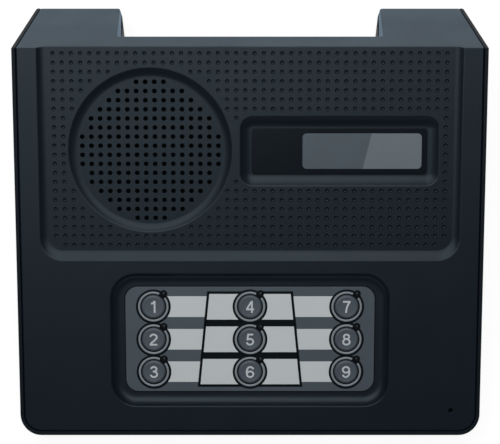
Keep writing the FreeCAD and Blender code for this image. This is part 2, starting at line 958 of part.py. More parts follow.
def speaker_basket():
    """A pressed basket: flat rim, sloping windowed wall and a back plate round the coil."""
    inner_rim = speaker_radius - speaker_rim_width
    back = speaker_back_level
    coil_hole = coil_radius + coil_hole_clearance
    section = [
        (inner_rim, rim_top_level),
        (speaker_radius, rim_top_level),
        (speaker_radius, rim_back_level),
        (inner_rim + speaker_sheet, rim_back_level),
        (speaker_back_radius, back),
        (coil_hole, back),
        (coil_hole, back + speaker_sheet),
        (speaker_back_radius - speaker_sheet, back + speaker_sheet),
        (inner_rim, rim_back_level),
    ]
    basket = lathe(section, round_sides, Vector(0, 0, 0))
    low = back + speaker_sheet + speaker_window_edge
    high = rim_back_level - speaker_window_edge
    windows = [
        centred_block(0, 0, 2 * speaker_radius, speaker_window_width, low, high),
        centred_block(0, 0, speaker_window_width, 2 * speaker_radius, low, high),
    ]
    basket = basket.cut(windows)
    basket.translate(at_dish())
    return on_face(basket)


def speaker_magnet():
    low = speaker_back_level - magnet_height
    return on_face(bar(dish_across, -dish_down, magnet_radius, round_sides, low, speaker_back_level))


def speaker_cone():
    """The paper cone with its flat edge and the coil's tube."""
    edge = speaker_radius - speaker_rim_width - cone_edge_gap
    fold = edge - gasket_width
    top = rim_top_level - cone_edge_gap
    neck = top - cone_depth
    coil_end = speaker_back_level + speaker_sheet / 2
    section = [
        (edge, top),
        (edge, top - cone_sheet),
        (fold, top - cone_sheet),
        (coil_radius, neck - cone_sheet),
        (coil_radius, coil_end),
        (coil_radius - cone_sheet, coil_end),
        (coil_radius - cone_sheet, neck),
        (fold, top),
    ]
    return on_face(lathe(section, round_sides, at_dish()))


def speaker_dust_cap():
    """A shallow dome that closes the middle of the cone."""
    seat = rim_top_level - cone_edge_gap - cone_depth + dust_cap_lift
    section = [
        (0, seat),
        (coil_radius, seat),
        (coil_radius * math.cos(math.pi / 6), seat + dust_cap_rise * math.sin(math.pi / 6)),
        (coil_radius * math.cos(math.pi / 3), seat + dust_cap_rise * math.sin(math.pi / 3)),
        (0, seat + dust_cap_rise),
    ]
    return on_face(lathe(section, round_sides, at_dish()))


def speaker_clamps():
    clamps = []
    outer = clamp_circle + small_post_radius
    low = rim_back_level - clamp_thickness
    middle = outer - clamp_length / 2
    for turn in clamp_turns():
        plate = centred_block(middle, 0, clamp_length, clamp_width, low, rim_back_level)
        plate.rotate(Vector(0, 0, 0), OUTWARDS, turn)
        plate.translate(at_dish())
        clamps.append(on_face(plate))
    return group(clamps)


def mic_boot():
    """A rubber cup glued under the face, with a sound hole over the capsule."""
    boot = bar(mic_across, -mic_down, mic_radius + mic_boot_wall, post_sides, mic_back_level, -cover_wall)
    room = bar(mic_across, -mic_down, mic_radius, post_sides, mic_back_level - over, mic_back_level + mic_height)
    sound = bar(mic_across, -mic_down, mic_hole_radius, small_sides, mic_back_level, over)
    return on_face(boot.cut([room, sound]))


def mic_capsule():
    high = mic_back_level + mic_height
    return on_face(bar(mic_across, -mic_down, mic_radius, post_sides, mic_back_level, high))


def main_board():
    middle = (main_board_back + main_board_front) / 2
    low = board_level - board_thickness
    return centred_block(0, middle, main_board_width, main_board_depth, low, board_level)


def board_chips():
    """The processor and the audio driver."""
    top = board_level + chip_height
    processor = centred_block(chip_across, main_board_back - chip_in, chip_size, chip_size, board_level, top)
    along = main_board_back - driver_chip_in
    driver = centred_block(driver_chip_across, along, driver_chip_width, driver_chip_depth, board_level, top)
    return group([processor, driver])


def board_capacitors():
    top = board_level + capacitor_height
    along = main_board_back - capacitor_in
    places = (capacitor_across, capacitor_across + capacitor_pitch)
    return group([bar(x, along, capacitor_radius, post_sides, board_level, top) for x in places])


def ribbon_headers():
    """The two headers that the ribbon joins: under the key board and on the main board."""
    low = board_back_level - header_height
    down = overlay_down - key_board_height / 2 + header_depth
    under_keys = centred_block(0, -down, header_width, header_depth, low, board_back_level)
    top = board_level + header_height
    on_board = centred_block(0, ribbon_drop_y, header_width, header_depth, board_level, top)
    return group([on_face(under_keys), on_board])


def bent_lead(points, side, width, thickness, bend):
    """A lead of flat section along straight runs in one plane, its bends rounded."""
    edges = []
    start = points[0]
    for index in range(1, len(points) - 1):
        arc_start, middle, end = corner_points(points[index - 1], points[index], points[index + 1], bend)
        edges.append(Part.makeLine(start, arc_start))
        edges.append(Part.Arc(arc_start, middle, end).toShape())
        start = end
    edges.append(Part.makeLine(start, points[-1]))
    along = (points[1] - points[0]).normalize()
    half_side = side * (width / 2)
    half_up = side.cross(along).normalize() * (thickness / 2)
    corners = [
        points[0] - half_side - half_up,
        points[0] + half_side - half_up,
        points[0] + half_side + half_up,
        points[0] - half_side + half_up,
    ]
    return Part.Wire(edges).makePipeShell([Part.makePolygon(corners + corners[:1])], True, False)


def ribbon_cable():
    """The flat ribbon, out of the key header's rear side and down into the main board's header."""
    down = overlay_down - key_board_height / 2 + header_depth / 2
    start = face_point(0, down, board_back_level - header_height / 2)
    reach = (ribbon_drop_y - start.y) / math.cos(face_angle)
    turn = start + Vector(0, math.cos(face_angle), math.sin(face_angle)) * reach
    end = Vector(0, ribbon_drop_y, board_level + header_height)
    return bent_lead([start, turn, end], ACROSS, ribbon_width, ribbon_thickness, ribbon_bend)


def speaker_tag_down():
    return dish_down + speaker_back_radius - terminal_depth / 2


def speaker_lead_points():
    """The loudspeaker lead's route, from the tag on the basket straight down to the main board."""
    down = speaker_tag_down()
    start = face_point(dish_across, down, speaker_back_level - terminal_height)
    turn = face_point(dish_across, down, speaker_back_level - terminal_height - lead_exit)
    end = Vector(turn.x, turn.y, board_level + terminal_height)
    return [start, turn, end]


def speaker_lead():
    return bent_lead(speaker_lead_points(), ACROSS, lead_width, lead_thickness, lead_bend)


def mic_lead():
    """The microphone's lead, along the back of the face to its terminal on the key board."""
    level = mic_back_level - lead_thickness / 2
    points = [
        Vector(mic_across, -mic_down, level),
        Vector(mic_across, -mic_terminal_down, level),
        Vector(mic_terminal_across + mic_terminal_size / 2, -mic_terminal_down, level),
    ]
    return on_face(bent_lead(points, OUTWARDS, lead_thickness, lead_thickness, lead_bend))


def lead_terminals():
    """Terminals for the loudspeaker's lead at both ends, and for the microphone's lead on the key board."""
    back = speaker_back_level
    along = -speaker_tag_down()
    tag = centred_block(dish_across, along, terminal_width, terminal_depth, back - terminal_height, back)
    foot = speaker_lead_points()[-1]
    socket = centred_block(foot.x, foot.y, terminal_width, terminal_width, board_level, foot.z)
    size = mic_terminal_size
    mic = centred_block(mic_terminal_across, -mic_terminal_down, size, size, board_top_level, mic_back_level)
    return group([on_face(tag), socket, on_face(mic)])


def rubber_feet():
    top = tray_base + foot_recess
    return group([bar(x, y, foot_radius, round_sides, 0, top) for x, y in foot_places()])


def case_screws():
    """Four screws from under the tray, through its posts into the cover's."""
    screws = []
    for across, along, top in case_post_places():
        seat = top - screw_grip
        shank = bar(across, along, screw_shank_radius, small_sides, seat, top + seam_gap + screw_bite)
        head = bar(across, along, screw_head_radius, small_sides, seat - screw_head_height, seat)
        screws.append(shank.fuse(head).removeSplitter())
    return group(screws)


def main():
    os.makedirs("parts", exist_ok=True)
    save(top_cover(), "top_cover")
    save(base_tray(), "base_tray")
    save(badge_plate(), "badge_plate")
    save(badge_window(), "badge_window")
    save(key_overlay(), "key_overlay")
    save(name_labels(), "name_labels")
    for number, (across, down) in enumerate(key_places(), start=1):
        save(key_cap(across, down), "key_cap_" + str(number))
        save(switch_plunger(across, down), "switch_plunger_" + str(number))
    save(switch_bodies(), "switch_bodies")
    save(led_lenses(), "led_lenses")
    save(led_chips(), "led_chips")
    save(key_board(), "key_board")
    save(grille_cloth(), "grille_cloth")
    save(speaker_gasket(), "speaker_gasket")
    save(speaker_basket(), "speaker_basket")
    save(speaker_magnet(), "speaker_magnet")
    save(speaker_cone(), "speaker_cone")
    save(speaker_dust_cap(), "speaker_dust_cap")
    save(speaker_clamps(), "speaker_clamps")
    save(mic_boot(), "mic_boot")
    save(mic_capsule(), "mic_capsule")
    save(main_board(), "main_board")
    save(board_chips(), "board_chips")
    save(board_capacitors(), "board_capacitors")
    for number, across in enumerate(line_jack_places(), start=1):
        save(line_jack(across), "line_jack_" + str(number))
    save(power_jack(), "power_jack")
    save(ribbon_headers(), "ribbon_headers")
    save(ribbon_cable(), "ribbon_cable")
    save(lead_terminals(), "lead_terminals")
    save(speaker_lead(), "speaker_lead")
    save(mic_lead(), "mic_lead")
    save(rubber_feet(), "rubber_feet")
    save(case_screws(), "case_screws")


main()
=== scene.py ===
import json
import math
from functools import partial

import bpy
from mathutils import Matrix, Vector
from mathutils.geometry import delaunay_2d_cdt


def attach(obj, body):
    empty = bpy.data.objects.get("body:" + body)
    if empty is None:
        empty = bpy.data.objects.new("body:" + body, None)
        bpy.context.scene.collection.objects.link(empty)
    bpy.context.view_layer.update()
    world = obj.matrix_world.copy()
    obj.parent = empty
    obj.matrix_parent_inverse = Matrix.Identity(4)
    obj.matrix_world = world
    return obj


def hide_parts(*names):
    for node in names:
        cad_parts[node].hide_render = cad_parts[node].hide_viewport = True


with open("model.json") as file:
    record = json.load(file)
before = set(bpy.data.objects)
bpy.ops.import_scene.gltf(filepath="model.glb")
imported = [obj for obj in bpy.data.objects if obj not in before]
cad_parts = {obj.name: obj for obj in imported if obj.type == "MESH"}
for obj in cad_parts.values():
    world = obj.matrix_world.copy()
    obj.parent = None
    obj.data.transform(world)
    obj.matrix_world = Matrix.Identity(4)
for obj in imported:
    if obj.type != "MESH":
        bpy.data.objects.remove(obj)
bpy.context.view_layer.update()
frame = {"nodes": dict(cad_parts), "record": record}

# All sizes are in millimetres and are turned into metres when a mesh is made
MM = 0.001

# Housing outline and side profile, as in the solids
overall_width = 200.0
face_length = 167.0
face_angle = math.radians(16.2)
rear_length = 62.0
rear_angle = math.radians(54.5)
front_height = 14.0
front_corner_radius = 9.0
rear_corner_radius = 0.55
bay_depth = 26.2
bay_root_width = 115.0
bay_mouth_width = 121.8
bay_corner_radius = 1.5
rim_reach = 2.0
cover_wall = 2.2
skirt_depth = 8.0
seam_height = 6.0
ridge_round = 0.6
bend_reach = 1.15
rear_reach = 3.5
edge_round = 0.5
seam_ledge = 0.32

# Steps round a quarter turn of an outline and of a rounded edge, and the sides of what is round
corner_steps = 10
round_steps = 5
dish_sides = 96
key_sides = 64
key_hole_sides = 48
head_sides = 28
bezel_sides = 24
pin_sides = 24
small_sides = 20
dimple_sides = 14
shank_sides = 12

# How outlines are filled with triangles, and the distances under which two points are one
inside_only = 1
closeness = 1e-6
loop_closeness = 1e-4
digit_closeness = 1e-5
least_area = 1e-9

# Recesses of the face
field_width = 179.2
field_length = 90.0
field_depth = 1.6
field_side_run = 3.6
field_end_run = 4.4
field_corner_radius = 9.5
dish_centre = Vector((-42.4, 43.0))
dish_radius = 34.75
dish_run = 3.75
dish_depth = 2.2
dish_bowl = 0.7
badge_centre = Vector((38.0, 43.3))
badge_size = Vector((84.4, 29.4))
badge_corner_radius = 5.4
badge_run = 4.6
badge_depth = 2.0
panel_centre = Vector((0.0, 124.87))
panel_size = Vector((120.2, 58.5))
panel_corner_radius = 11.0
panel_run = 5.2
panel_depth = 3.0
mouth_reach = 0.35
mouth_shares = (-1, -0.5, 0, 0.5)
field_side_power = 2.2
field_end_power = 1.5
dish_power = 1.9
badge_power = 1.9
panel_power = 3.2

# Dimples of the field and holes of the grille
lattice_pitch = Vector((3.86, 3.87))
lattice_columns = 44
lattice_rows = 22
lattice_top = 2.1
dimple_radius = 0.88
dimple_depth = 0.55
dimple_rings = (1, 0.66, 0.33)
dimple_clear_of_dish = 1.75
dimple_clear_of_badge = 1.95
grille_pitch = 3.86
grille_hole_radius = 0.95
grille_row_counts = (4, 8, 10, 12, 14, 14, 16, 16)
hole_lip = 0.15
thin_lip = 0.12

# Keys, lamps, film and its print, with painted shade in the gaps round the film and the keys
overlay_size = Vector((107.8, 46.2))
overlay_thickness = 0.5
overlay_corner_radius = 5.4
key_pitch = Vector((41.8, 14.4))
key_count = 3
key_radius = 5.2
key_proud = 0.9
key_clearance = 0.3
key_bottom = 5.5
key_hollow = 0.18
key_hollow_shares = (0, 0.3, 0.5, 0.65, 0.74)
key_hollow_power = 3
key_shoulder = 1.15
key_shoulder_drop = 1.1
ring_inner_radius = 5.67
ring_outer_radius = 6.6
ring_height = 0.3
ring_steps = 8
ring_gap = 0.24
# The black disc under each key's ring reaches from outline_radius in to just outside the key: printed outline
# outside the ring, painted shade of the gap round the key inside it
outline_radius = 7.55
gap_shade_clearance = 0.05
outline_lift = 0.02
lamp_offset = Vector((4.5, -5.7))
lamp_radius = 1.1
lamp_proud = 0.3
strip_height = 9.1
strip_thickness = 0.15
frame_top_half = 18.0
frame_end_half = 22.25
frame_height = 42.2
frame_line = 1.1
frame_bar = 3.0
line_thickness = 0.2
# A thin black band on the recess floor round the film: painted shade of the gap between film and recess wall
film_gap_shade_inset = -0.45
film_gap_shade_width = 0.45
film_gap_shade_lift = 0.03
digit_height = 5.25
digit_stroke = 0.145
digit_lift = 0.02
bow_steps = 24

# Lamp tips and bezels, with their tops as (radius, drop) points
lamp_tip_top = ((0, 0), (0.25, 0.02), (0.5, 0.1), (0.62, 0.22))
lamp_tip_radius = 0.65
lamp_tip_depth = 1.0
bezel_top = ((0.68, 0.08), (0.85, 0), (1.3, 0), (1.5, 0.12))
bezel_mouth_radius = 0.64
bezel_mouth_depth = 0.4
bezel_radius = 1.55
bezel_proud = 0.42

# Badge plate and window
plate_margin = 0.3
plate_thickness = 1.0
plate_corner_radius = 1.6
plate_lip = 0.25
window_size = Vector((50.7, 15.1))
window_right_margin = 2.3
window_corner_radius = 1.8
window_thickness = 0.3
window_split_top = 29.35
window_split_lean = 3.7

# Microphone hole and the felt in it
mic_centre = Vector((87.3, 155.9))
mic_hole_radius = 0.95
felt_gap = 0.02
felt_thickness = 0.4

# Case screws, with the front pair and the rear pair as (across, in from the edge, height of their seats)
case_screw_pairs = ((68.0, 13.0, 5.8), (84.0, -50.0, 23.0))
screw_head_radius = 2.02
screw_head_height = 1.6
screw_head_round = 0.55
screw_shank_radius = 1.2
screw_shank_length = 8.4
screw_cross_reach = 1.35
screw_cross_half = 0.36
screw_cross_depth = 1.0

# Contacts in the sockets
jack_mouth_lift = 2.6
contact_count = 8
contact_pitch = 1.02
contact_width = 0.44
contact_thickness = 0.3
contact_path = ((-1.1, -0.2), (-1.5, 0.3), (-2.0, 0.62), (-10.6, 4.3))
power_pin_radius = 1.22
power_pin_round = 0.5
power_pin_length = 9.9
power_pin_proud = 0.05

# Softened edges of the solids
SOFT_EDGES = {"base_tray": 0.5, "line_jack_1": 0.3, "line_jack_2": 0.3, "power_jack": 0.3, "rubber_feet": 0.4}
soft_segments = 3
weld_distance = 0.01
flat_angle = math.radians(1)
sharp_angle = math.radians(30)

# Finishes, with the height of their grain in metres
cloud_scale = 45.0
cloud_detail = 4.0
gloss_change = 0.06
least_roughness = 0.02
grain_detail = 3.0
grain_height = 0.0001
coat_roughness = 0.08
# Index of the tinted coat that paints a cool sheen at low angles
sheen_coat_index = 1.015
# Cool blue tint on all highlights: painted colour of a cool light, as the lamps are white
cool_light_highlight_tint = (0.8, 0.95, 1.0, 1.0)
plain_roughness = 0.45
plain_grain = 0.2
WHITE = (1.0, 1.0, 1.0, 1.0)

# Floor and lights, in metres
floor_reach = 12.0
floor_tone = 0.9
floor_roughness = 0.9
floor_specular = 0.1
floor_white = 1.05
floor_white_share = 0.86
world_strength = 0.16
key_light_place = (-0.12, 0.27, 1.0)
key_light_size = 1.15
key_light_power = 12.2

# Camera, over the upper part of the face
camera_down = 17.0
camera_height = 466.7
camera_lean = 0.1198
camera_sensor = 36.0
camera_lens = 79.4

# Side profile worked out from the sizes above
overall_depth = face_length * math.cos(face_angle) + rear_length * math.cos(rear_angle)
front_y = -overall_depth / 2
rear_y = overall_depth / 2
ridge_y = front_y + face_length * math.cos(face_angle)
ridge_z = front_height + face_length * math.sin(face_angle)
bay_wall_y = rear_y - bay_depth
cover_half = overall_width / 2 - rim_reach
cover_front = front_y + rim_reach
field_level = -field_depth
dish_level = field_level - dish_depth
badge_level = field_level - badge_depth
panel_level = -panel_depth
overlay_level = panel_level + overlay_thickness

RIDGE = Vector((0, ridge_y, ridge_z))
ACROSS = Vector((1, 0, 0))
UP = Vector((0, 0, 1))
BACKWARDS = Vector((0, 1, 0))
DOWN_FACE = Vector((0, -math.cos(face_angle), -math.sin(face_angle)))
OUT_OF_FACE = Vector((0, -math.sin(face_angle), math.cos(face_angle)))
DOWN_REAR = Vector((0, math.cos(rear_angle), -math.sin(rear_angle)))
OUT_OF_REAR = Vector((0, math.sin(rear_angle), math.cos(rear_angle)))


def on_face(point, level):
    """The console's coordinates of a point (across, down the face) at a level above the face."""
    return RIDGE + ACROSS * point[0] + DOWN_FACE * point[1] + OUT_OF_FACE * level


def direction(turn):
    return Vector((math.cos(turn), math.sin(turn)))


def circle(centre, radius, count):
    return [centre + direction(2 * math.pi * step / count) * radius for step in range(count)]


def rounded_rectangle(centre, size, radius, inset=0):
    """A rounded rectangle's outline moved inwards, with the same number of points on each quarter turn."""
    reach = size / 2 - Vector((radius, radius))
    points = []
    for quarter in range(4):
        across = reach.x if quarter in (0, 3) else -reach.x
        down = reach.y if quarter in (0, 1) else -reach.y
        for step in range(corner_steps + 1):
            turn = direction(math.pi / 2 * (quarter + step / corner_steps))
            points.append(centre + Vector((across, down)) + turn * (radius - inset))
    return points


def quarter_round(steps=round_steps - 1):
    """(back, down) along a quarter turn from a flat top over to a side, as shares of its radius."""
    turns = [math.pi / 2 * step / steps for step in range(steps + 1)]
    return [(1 - math.sin(turn), 1 - math.cos(turn)) for turn in turns]


def lifted(loop, level):
    return [on_face(point, level) for point in loop]


def centred(count):
    """Numbers one apart, with zero in their middle."""
    return [index - (count - 1) / 2 for index in range(count)]


def add_object(name, data):
    thing = bpy.data.objects.new(name, data)
    bpy.context.scene.collection.objects.link(thing)
    return thing


class Skin:
    """A surface gathered patch by patch, in which each vertex has its own normal."""

    def __init__(self):
        self.points = []
        self.normals = []
        self.faces = []
        self.kinds = []
        self.kind = 0

    def add(self, points, normals):
        start = len(self.points)
        self.points += points
        self.normals += normals
        return start

    def face(self, corners):
        self.faces.append(corners)
        self.kinds.append(self.kind)

    def band(self, rings, start=None, end=None, hint=None, closed=True):
        """Rows of quads through rings of points. start and end are the normals of the first and last ring."""
        count = len(rings[0])
        normals = []
        for i, ring in enumerate(rings):
            before = rings[max(i - 1, 0)]
            after = rings[min(i + 1, len(rings) - 1)]
            for j in range(count):
                previous = (j - 1) % count if closed else max(j - 1, 0)
                following = (j + 1) % count if closed else min(j + 1, count - 1)
                along = ring[following] - ring[previous]
                normals.append(along.cross(after[j] - before[j]).normalized())
        wanted = hint or start
        if sum(normal.dot(wanted) for normal in normals[:count]) < 0:
            normals = [-normal for normal in normals]
        if start:
            normals[:count] = start if isinstance(start, list) else [start] * count
        if end:
            normals[-count:] = [end] * count
        base = self.add([point for ring in rings for point in ring], normals)
        self.quads(base, len(rings), count, closed)

    def quads(self, base, rows, count, closed=True):
        """Quads between rows of points that were added from base onwards."""
        for i in range(rows - 1):
            for j in range(count if closed else count - 1):
                a = base + i * count + j
                b = base + i * count + (j + 1) % count
                self.face([a, b, b + count, a + count])

    def fill(self, loops, place, normal):
        """Triangles inside the first loop and outside the others, which are all convex."""
        flat = [point for loop in loops for point in loop]
        owners = [index for index, loop in enumerate(loops) for _ in loop]
        edges = []
        for loop in loops:
            first = len(edges)
            edges += [(first + step, first + (step + 1) % len(loop)) for step in range(len(loop))]
        points, _, faces, sources, _, _ = delaunay_2d_cdt(flat, edges, [], inside_only, closeness)
        base = self.add([place(point) for point in points], [normal] * len(points))
        for face in faces:
            loops_met = {owners[sources[corner][0]] for corner in face}
            if len(loops_met) > 1 or 0 in loops_met:
                self.face([base + corner for corner in face])

    def fill_level(self, loops, level):
        self.fill(loops, lambda point: on_face(point, level), OUT_OF_FACE)

    def fan(self, ring, tip, normals, tip_normal):
        base = self.add(ring + [tip], normals + [tip_normal])
        for step in range(len(ring)):
            self.face([base + step, base + (step + 1) % len(ring), base + len(ring)])

    def build(self, name, *materials):
        """The gathered surface as an object in metres, its faces turned to their normals."""
        mesh = bpy.data.meshes.new(name)
        faces = []
        for corners in self.faces:
            a, b, c = (self.points[corner] for corner in corners[:3])
            flat = (b - a).cross(c - a)
            if len(corners) > 3 and flat.length < least_area:
                flat = (c - a).cross(self.points[corners[3]] - a)
            faces.append(corners if flat.dot(self.normals[corners[0]]) >= 0 else corners[::-1])
        mesh.from_pydata([point * MM for point in self.points], [], faces)
        mesh.polygons.foreach_set("use_smooth", [True] * len(faces))
        mesh.polygons.foreach_set("material_index", self.kinds)
        mesh.normals_split_custom_set_from_vertices(self.normals)
        for material in materials:
            mesh.materials.append(material)
        return add_object(name, mesh)


def hollow_slope(run, depth, power):
    """(distance in, drop) along a slope that is steep at its mouth and eases out into the floor."""
    steepness = power * depth / run
    points = []
    for share in mouth_shares:
        points.append((share * mouth_reach, -steepness * mouth_reach * (share + 1) ** 2 / 4))
    steps = 2 * round_steps
    for step in range(steps, -1, -1):
        left = (1 - mouth_reach / run) * step / steps
        points.append((run * (1 - left), -depth * (1 - left**power)))
    return points


def recess(skin, mouth, floor, top, depth, power_at, closed=True):
    """The sides of a recess between its mouth and floor outlines. Returns its outer and inner loops."""
    columns = []
    for outer, inner in zip(mouth, floor):
        run = (inner - outer).length
        inwards = (inner - outer) / run
        slope = hollow_slope(run, depth, power_at(run))
        columns.append([(outer + inwards * reach, top + drop) for reach, drop in slope])
    rings = [[on_face(*point) for point in row] for row in zip(*columns)]
    skin.band(rings, OUT_OF_FACE, OUT_OF_FACE, closed=closed)
    return [column[0][0] for column in columns], [column[-1][0] for column in columns]


def drill(skin, centre, radius, sides, surface, low):
    """A round hole with a softly broken edge, down to a low level. Returns the loop at its mouth."""
    rings = []
    for back, down in quarter_round():
        loop = circle(centre, radius + hole_lip * back, sides)
        rings.append([on_face(p, surface(p) - hole_lip * down) for p in loop])
    skin.band(rings + [lifted(circle(centre, radius, sides), low)], OUT_OF_FACE)
    return circle(centre, radius + hole_lip, sides)


def dimple(skin, centre, level):
    """A small round pit. Returns the loop at its rim."""
    ball = (dimple_radius**2 + dimple_depth**2) / (2 * dimple_depth)
    middle = on_face(centre, level - dimple_depth + ball)
    widest = math.asin(dimple_radius / ball)
    rings = []
    for share in dimple_rings:
        lean = widest * share
        loop = circle(centre, ball * math.sin(lean), dimple_sides)
        rings.append(lifted(loop, level + (ball - dimple_depth - ball * math.cos(lean))))
    normals = [[(middle - point).normalized() for point in ring] for ring in rings]
    base = skin.add(sum(rings, []), sum(normals, []))
    skin.quads(base, len(rings), dimple_sides)
    skin.fan(rings[-1], on_face(centre, level - dimple_depth), normals[-1], OUT_OF_FACE)
    return circle(centre, dimple_radius, dimple_sides)


def distance_to_badge(point):
    """How far a point is outside the badge recess's rounded outline."""
    reach = badge_size / 2 - Vector((badge_corner_radius, badge_corner_radius))
    away = point - badge_centre
    beyond = Vector((max(abs(away.x) - reach.x, 0), max(abs(away.y) - reach.y, 0)))
    return beyond.length - badge_corner_radius


def dimple_places():
    places = []
    for row in range(lattice_rows):
        for column in centred(lattice_columns):
            point = Vector((column * lattice_pitch.x, lattice_top + row * lattice_pitch.y))
            in_corner = row == lattice_rows - 1 and abs(column) == (lattice_columns - 1) / 2
            near_dish = (point - dish_centre).length < dish_radius + dimple_clear_of_dish
            if not in_corner and not near_dish and distance_to_badge(point) > dimple_clear_of_badge:
                places.append(point)
    return places


def grille_places():
    rows = grille_row_counts + grille_row_counts[::-1]
    places = []
    for down, count in zip(centred(len(rows)), rows):
        places += [dish_centre + Vector((across, down)) * grille_pitch for across in centred(count)]
    return places


def key_places():
    steps = centred(key_count)
    return [panel_centre + Vector((x * key_pitch.x, y * key_pitch.y)) for x in steps for y in steps]


def panel_holes():
    """(centre, radius, sides) of the holes for the keys and for the lamps."""
    holes = [(place, key_radius + key_clearance, key_hole_sides) for place in key_places()]
    return holes + [(place + lamp_offset, lamp_radius, small_sides) for place in key_places()]


def plan_outline(side_inset, rear_inset, side_stops):
    """The housing's outline from above, moved inwards, with extra points at side_stops along the sides."""
    lean = (bay_mouth_width - bay_root_width) / 2 / bay_depth
    shift = rear_inset * math.sqrt(1 + lean * lean)
    side = cover_half - side_inset
    root = bay_root_width / 2 - rear_inset * lean + shift
    mouth = bay_root_width / 2 + (bay_depth - rear_inset) * lean + shift
    rear = rear_y - rear_inset
    bay = bay_wall_y - rear_inset
    half = [
        (Vector((side, cover_front + side_inset)), front_corner_radius - rim_reach - side_inset),
        (Vector((side, rear)), rear_corner_radius - rear_inset),
        (Vector((mouth, rear)), bay_corner_radius - rear_inset),
        (Vector((root, bay)), bay_corner_radius + rear_inset),
    ]
    corners = half + [(Vector((-corner.x, corner.y)), radius) for corner, radius in half[::-1]]
    points = []
    for index, (corner, radius) in enumerate(corners):
        points += corner_arc(corners[index - 1][0], corner, corners[(index + 1) % len(corners)][0], radius)
        if index == 0:
            points += [Vector((side, y)) for y in side_stops]
        if index == len(corners) - 2:
            points += [Vector((-side, y)) for y in side_stops[::-1]]
    return points


def corner_arc(before, corner, after, radius):
    """Points of the arc that rounds one corner."""
    back = (before - corner).normalized()
    ahead = (after - corner).normalized()
    half_angle = back.angle(ahead) / 2
    centre = corner + (back + ahead).normalized() * (radius / math.sin(half_angle))
    start = corner + back * (radius / math.tan(half_angle)) - centre
    sweep = math.pi - 2 * half_angle
    if back.x * ahead.y - back.y * ahead.x > 0:
        sweep = -sweep
    turns = [sweep * step / corner_steps for step in range(corner_steps + 1)]
    return [centre + Matrix.Rotation(turn, 2) @ start for turn in turns]


def ridge_bend(level):
    """Points over the ridge, from a surface at a level above the face to the rear slope."""
    bend = face_angle + rear_angle
    drop = OUT_OF_FACE * level
    meet = drop + DOWN_FACE * (level / math.tan(bend))
    reach = ridge_round * math.tan(bend / 2)
    centre = RIDGE + meet + DOWN_FACE * reach - OUT_OF_FACE * ridge_round
    profile = [RIDGE + DOWN_FACE * bend_reach + drop]
    for step in range(2 * round_steps + 1):
        turn = bend * step / (2 * round_steps)
        profile.append(centre + (OUT_OF_FACE * math.cos(turn) - DOWN_FACE * math.sin(turn)) * ridge_round)
    return profile + [RIDGE + DOWN_REAR * rear_reach]


def top_height(y):
    """Height of the plain face or rear slope at y, with the ridge rounded."""
    profile = ridge_bend(0)
    if y <= profile[0].y:
        return ridge_z - (ridge_y - y) * math.tan(face_angle)
    if y >= profile[-1].y:
        return ridge_z - (y - ridge_y) * math.tan(rear_angle)
    low, high = next(pair for pair in zip(profile, profile[1:]) if y <= pair[1].y)
    return low.z + (high.z - low.z) * (y - low.y) / (high.y - low.y)


def field_outlines():
    """The field's mouth and floor, from the ridge down the left side, along the end and up the right side."""
    half = field_width / 2
    shift = Vector((0, field_end_run - field_side_run))
    mouth = [Vector((-half, bend_reach))]
    floor = [Vector((field_side_run - half, bend_reach))]
    for side, first in ((-1, math.pi), (1, math.pi / 2)):
        corner = Vector((side * (half - field_corner_radius), field_length - field_corner_radius))
        for step in range(corner_steps + 1):
            turn = direction(first - math.pi / 2 * step / corner_steps)
            mouth.append(corner + turn * field_corner_radius)
            floor.append(corner - shift + turn * (field_corner_radius - field_side_run))
    mouth.append(Vector((half, bend_reach)))
    floor.append(Vector((half - field_side_run, bend_reach)))
    return mouth, floor


def dish_surface(point):
    """The level of the grille's floor, which is a very shallow bowl."""
    return dish_level + dish_bowl * ((point - dish_centre).length / (dish_radius - dish_run)) ** 2


def field_power(run):
    """The hollowness of the field's slope, which changes round its corners from the sides to the end."""
    share = min(max((run - field_side_run) / (field_end_run - field_side_run), 0), 1)
    return field_side_power + (field_end_power - field_side_power) * share


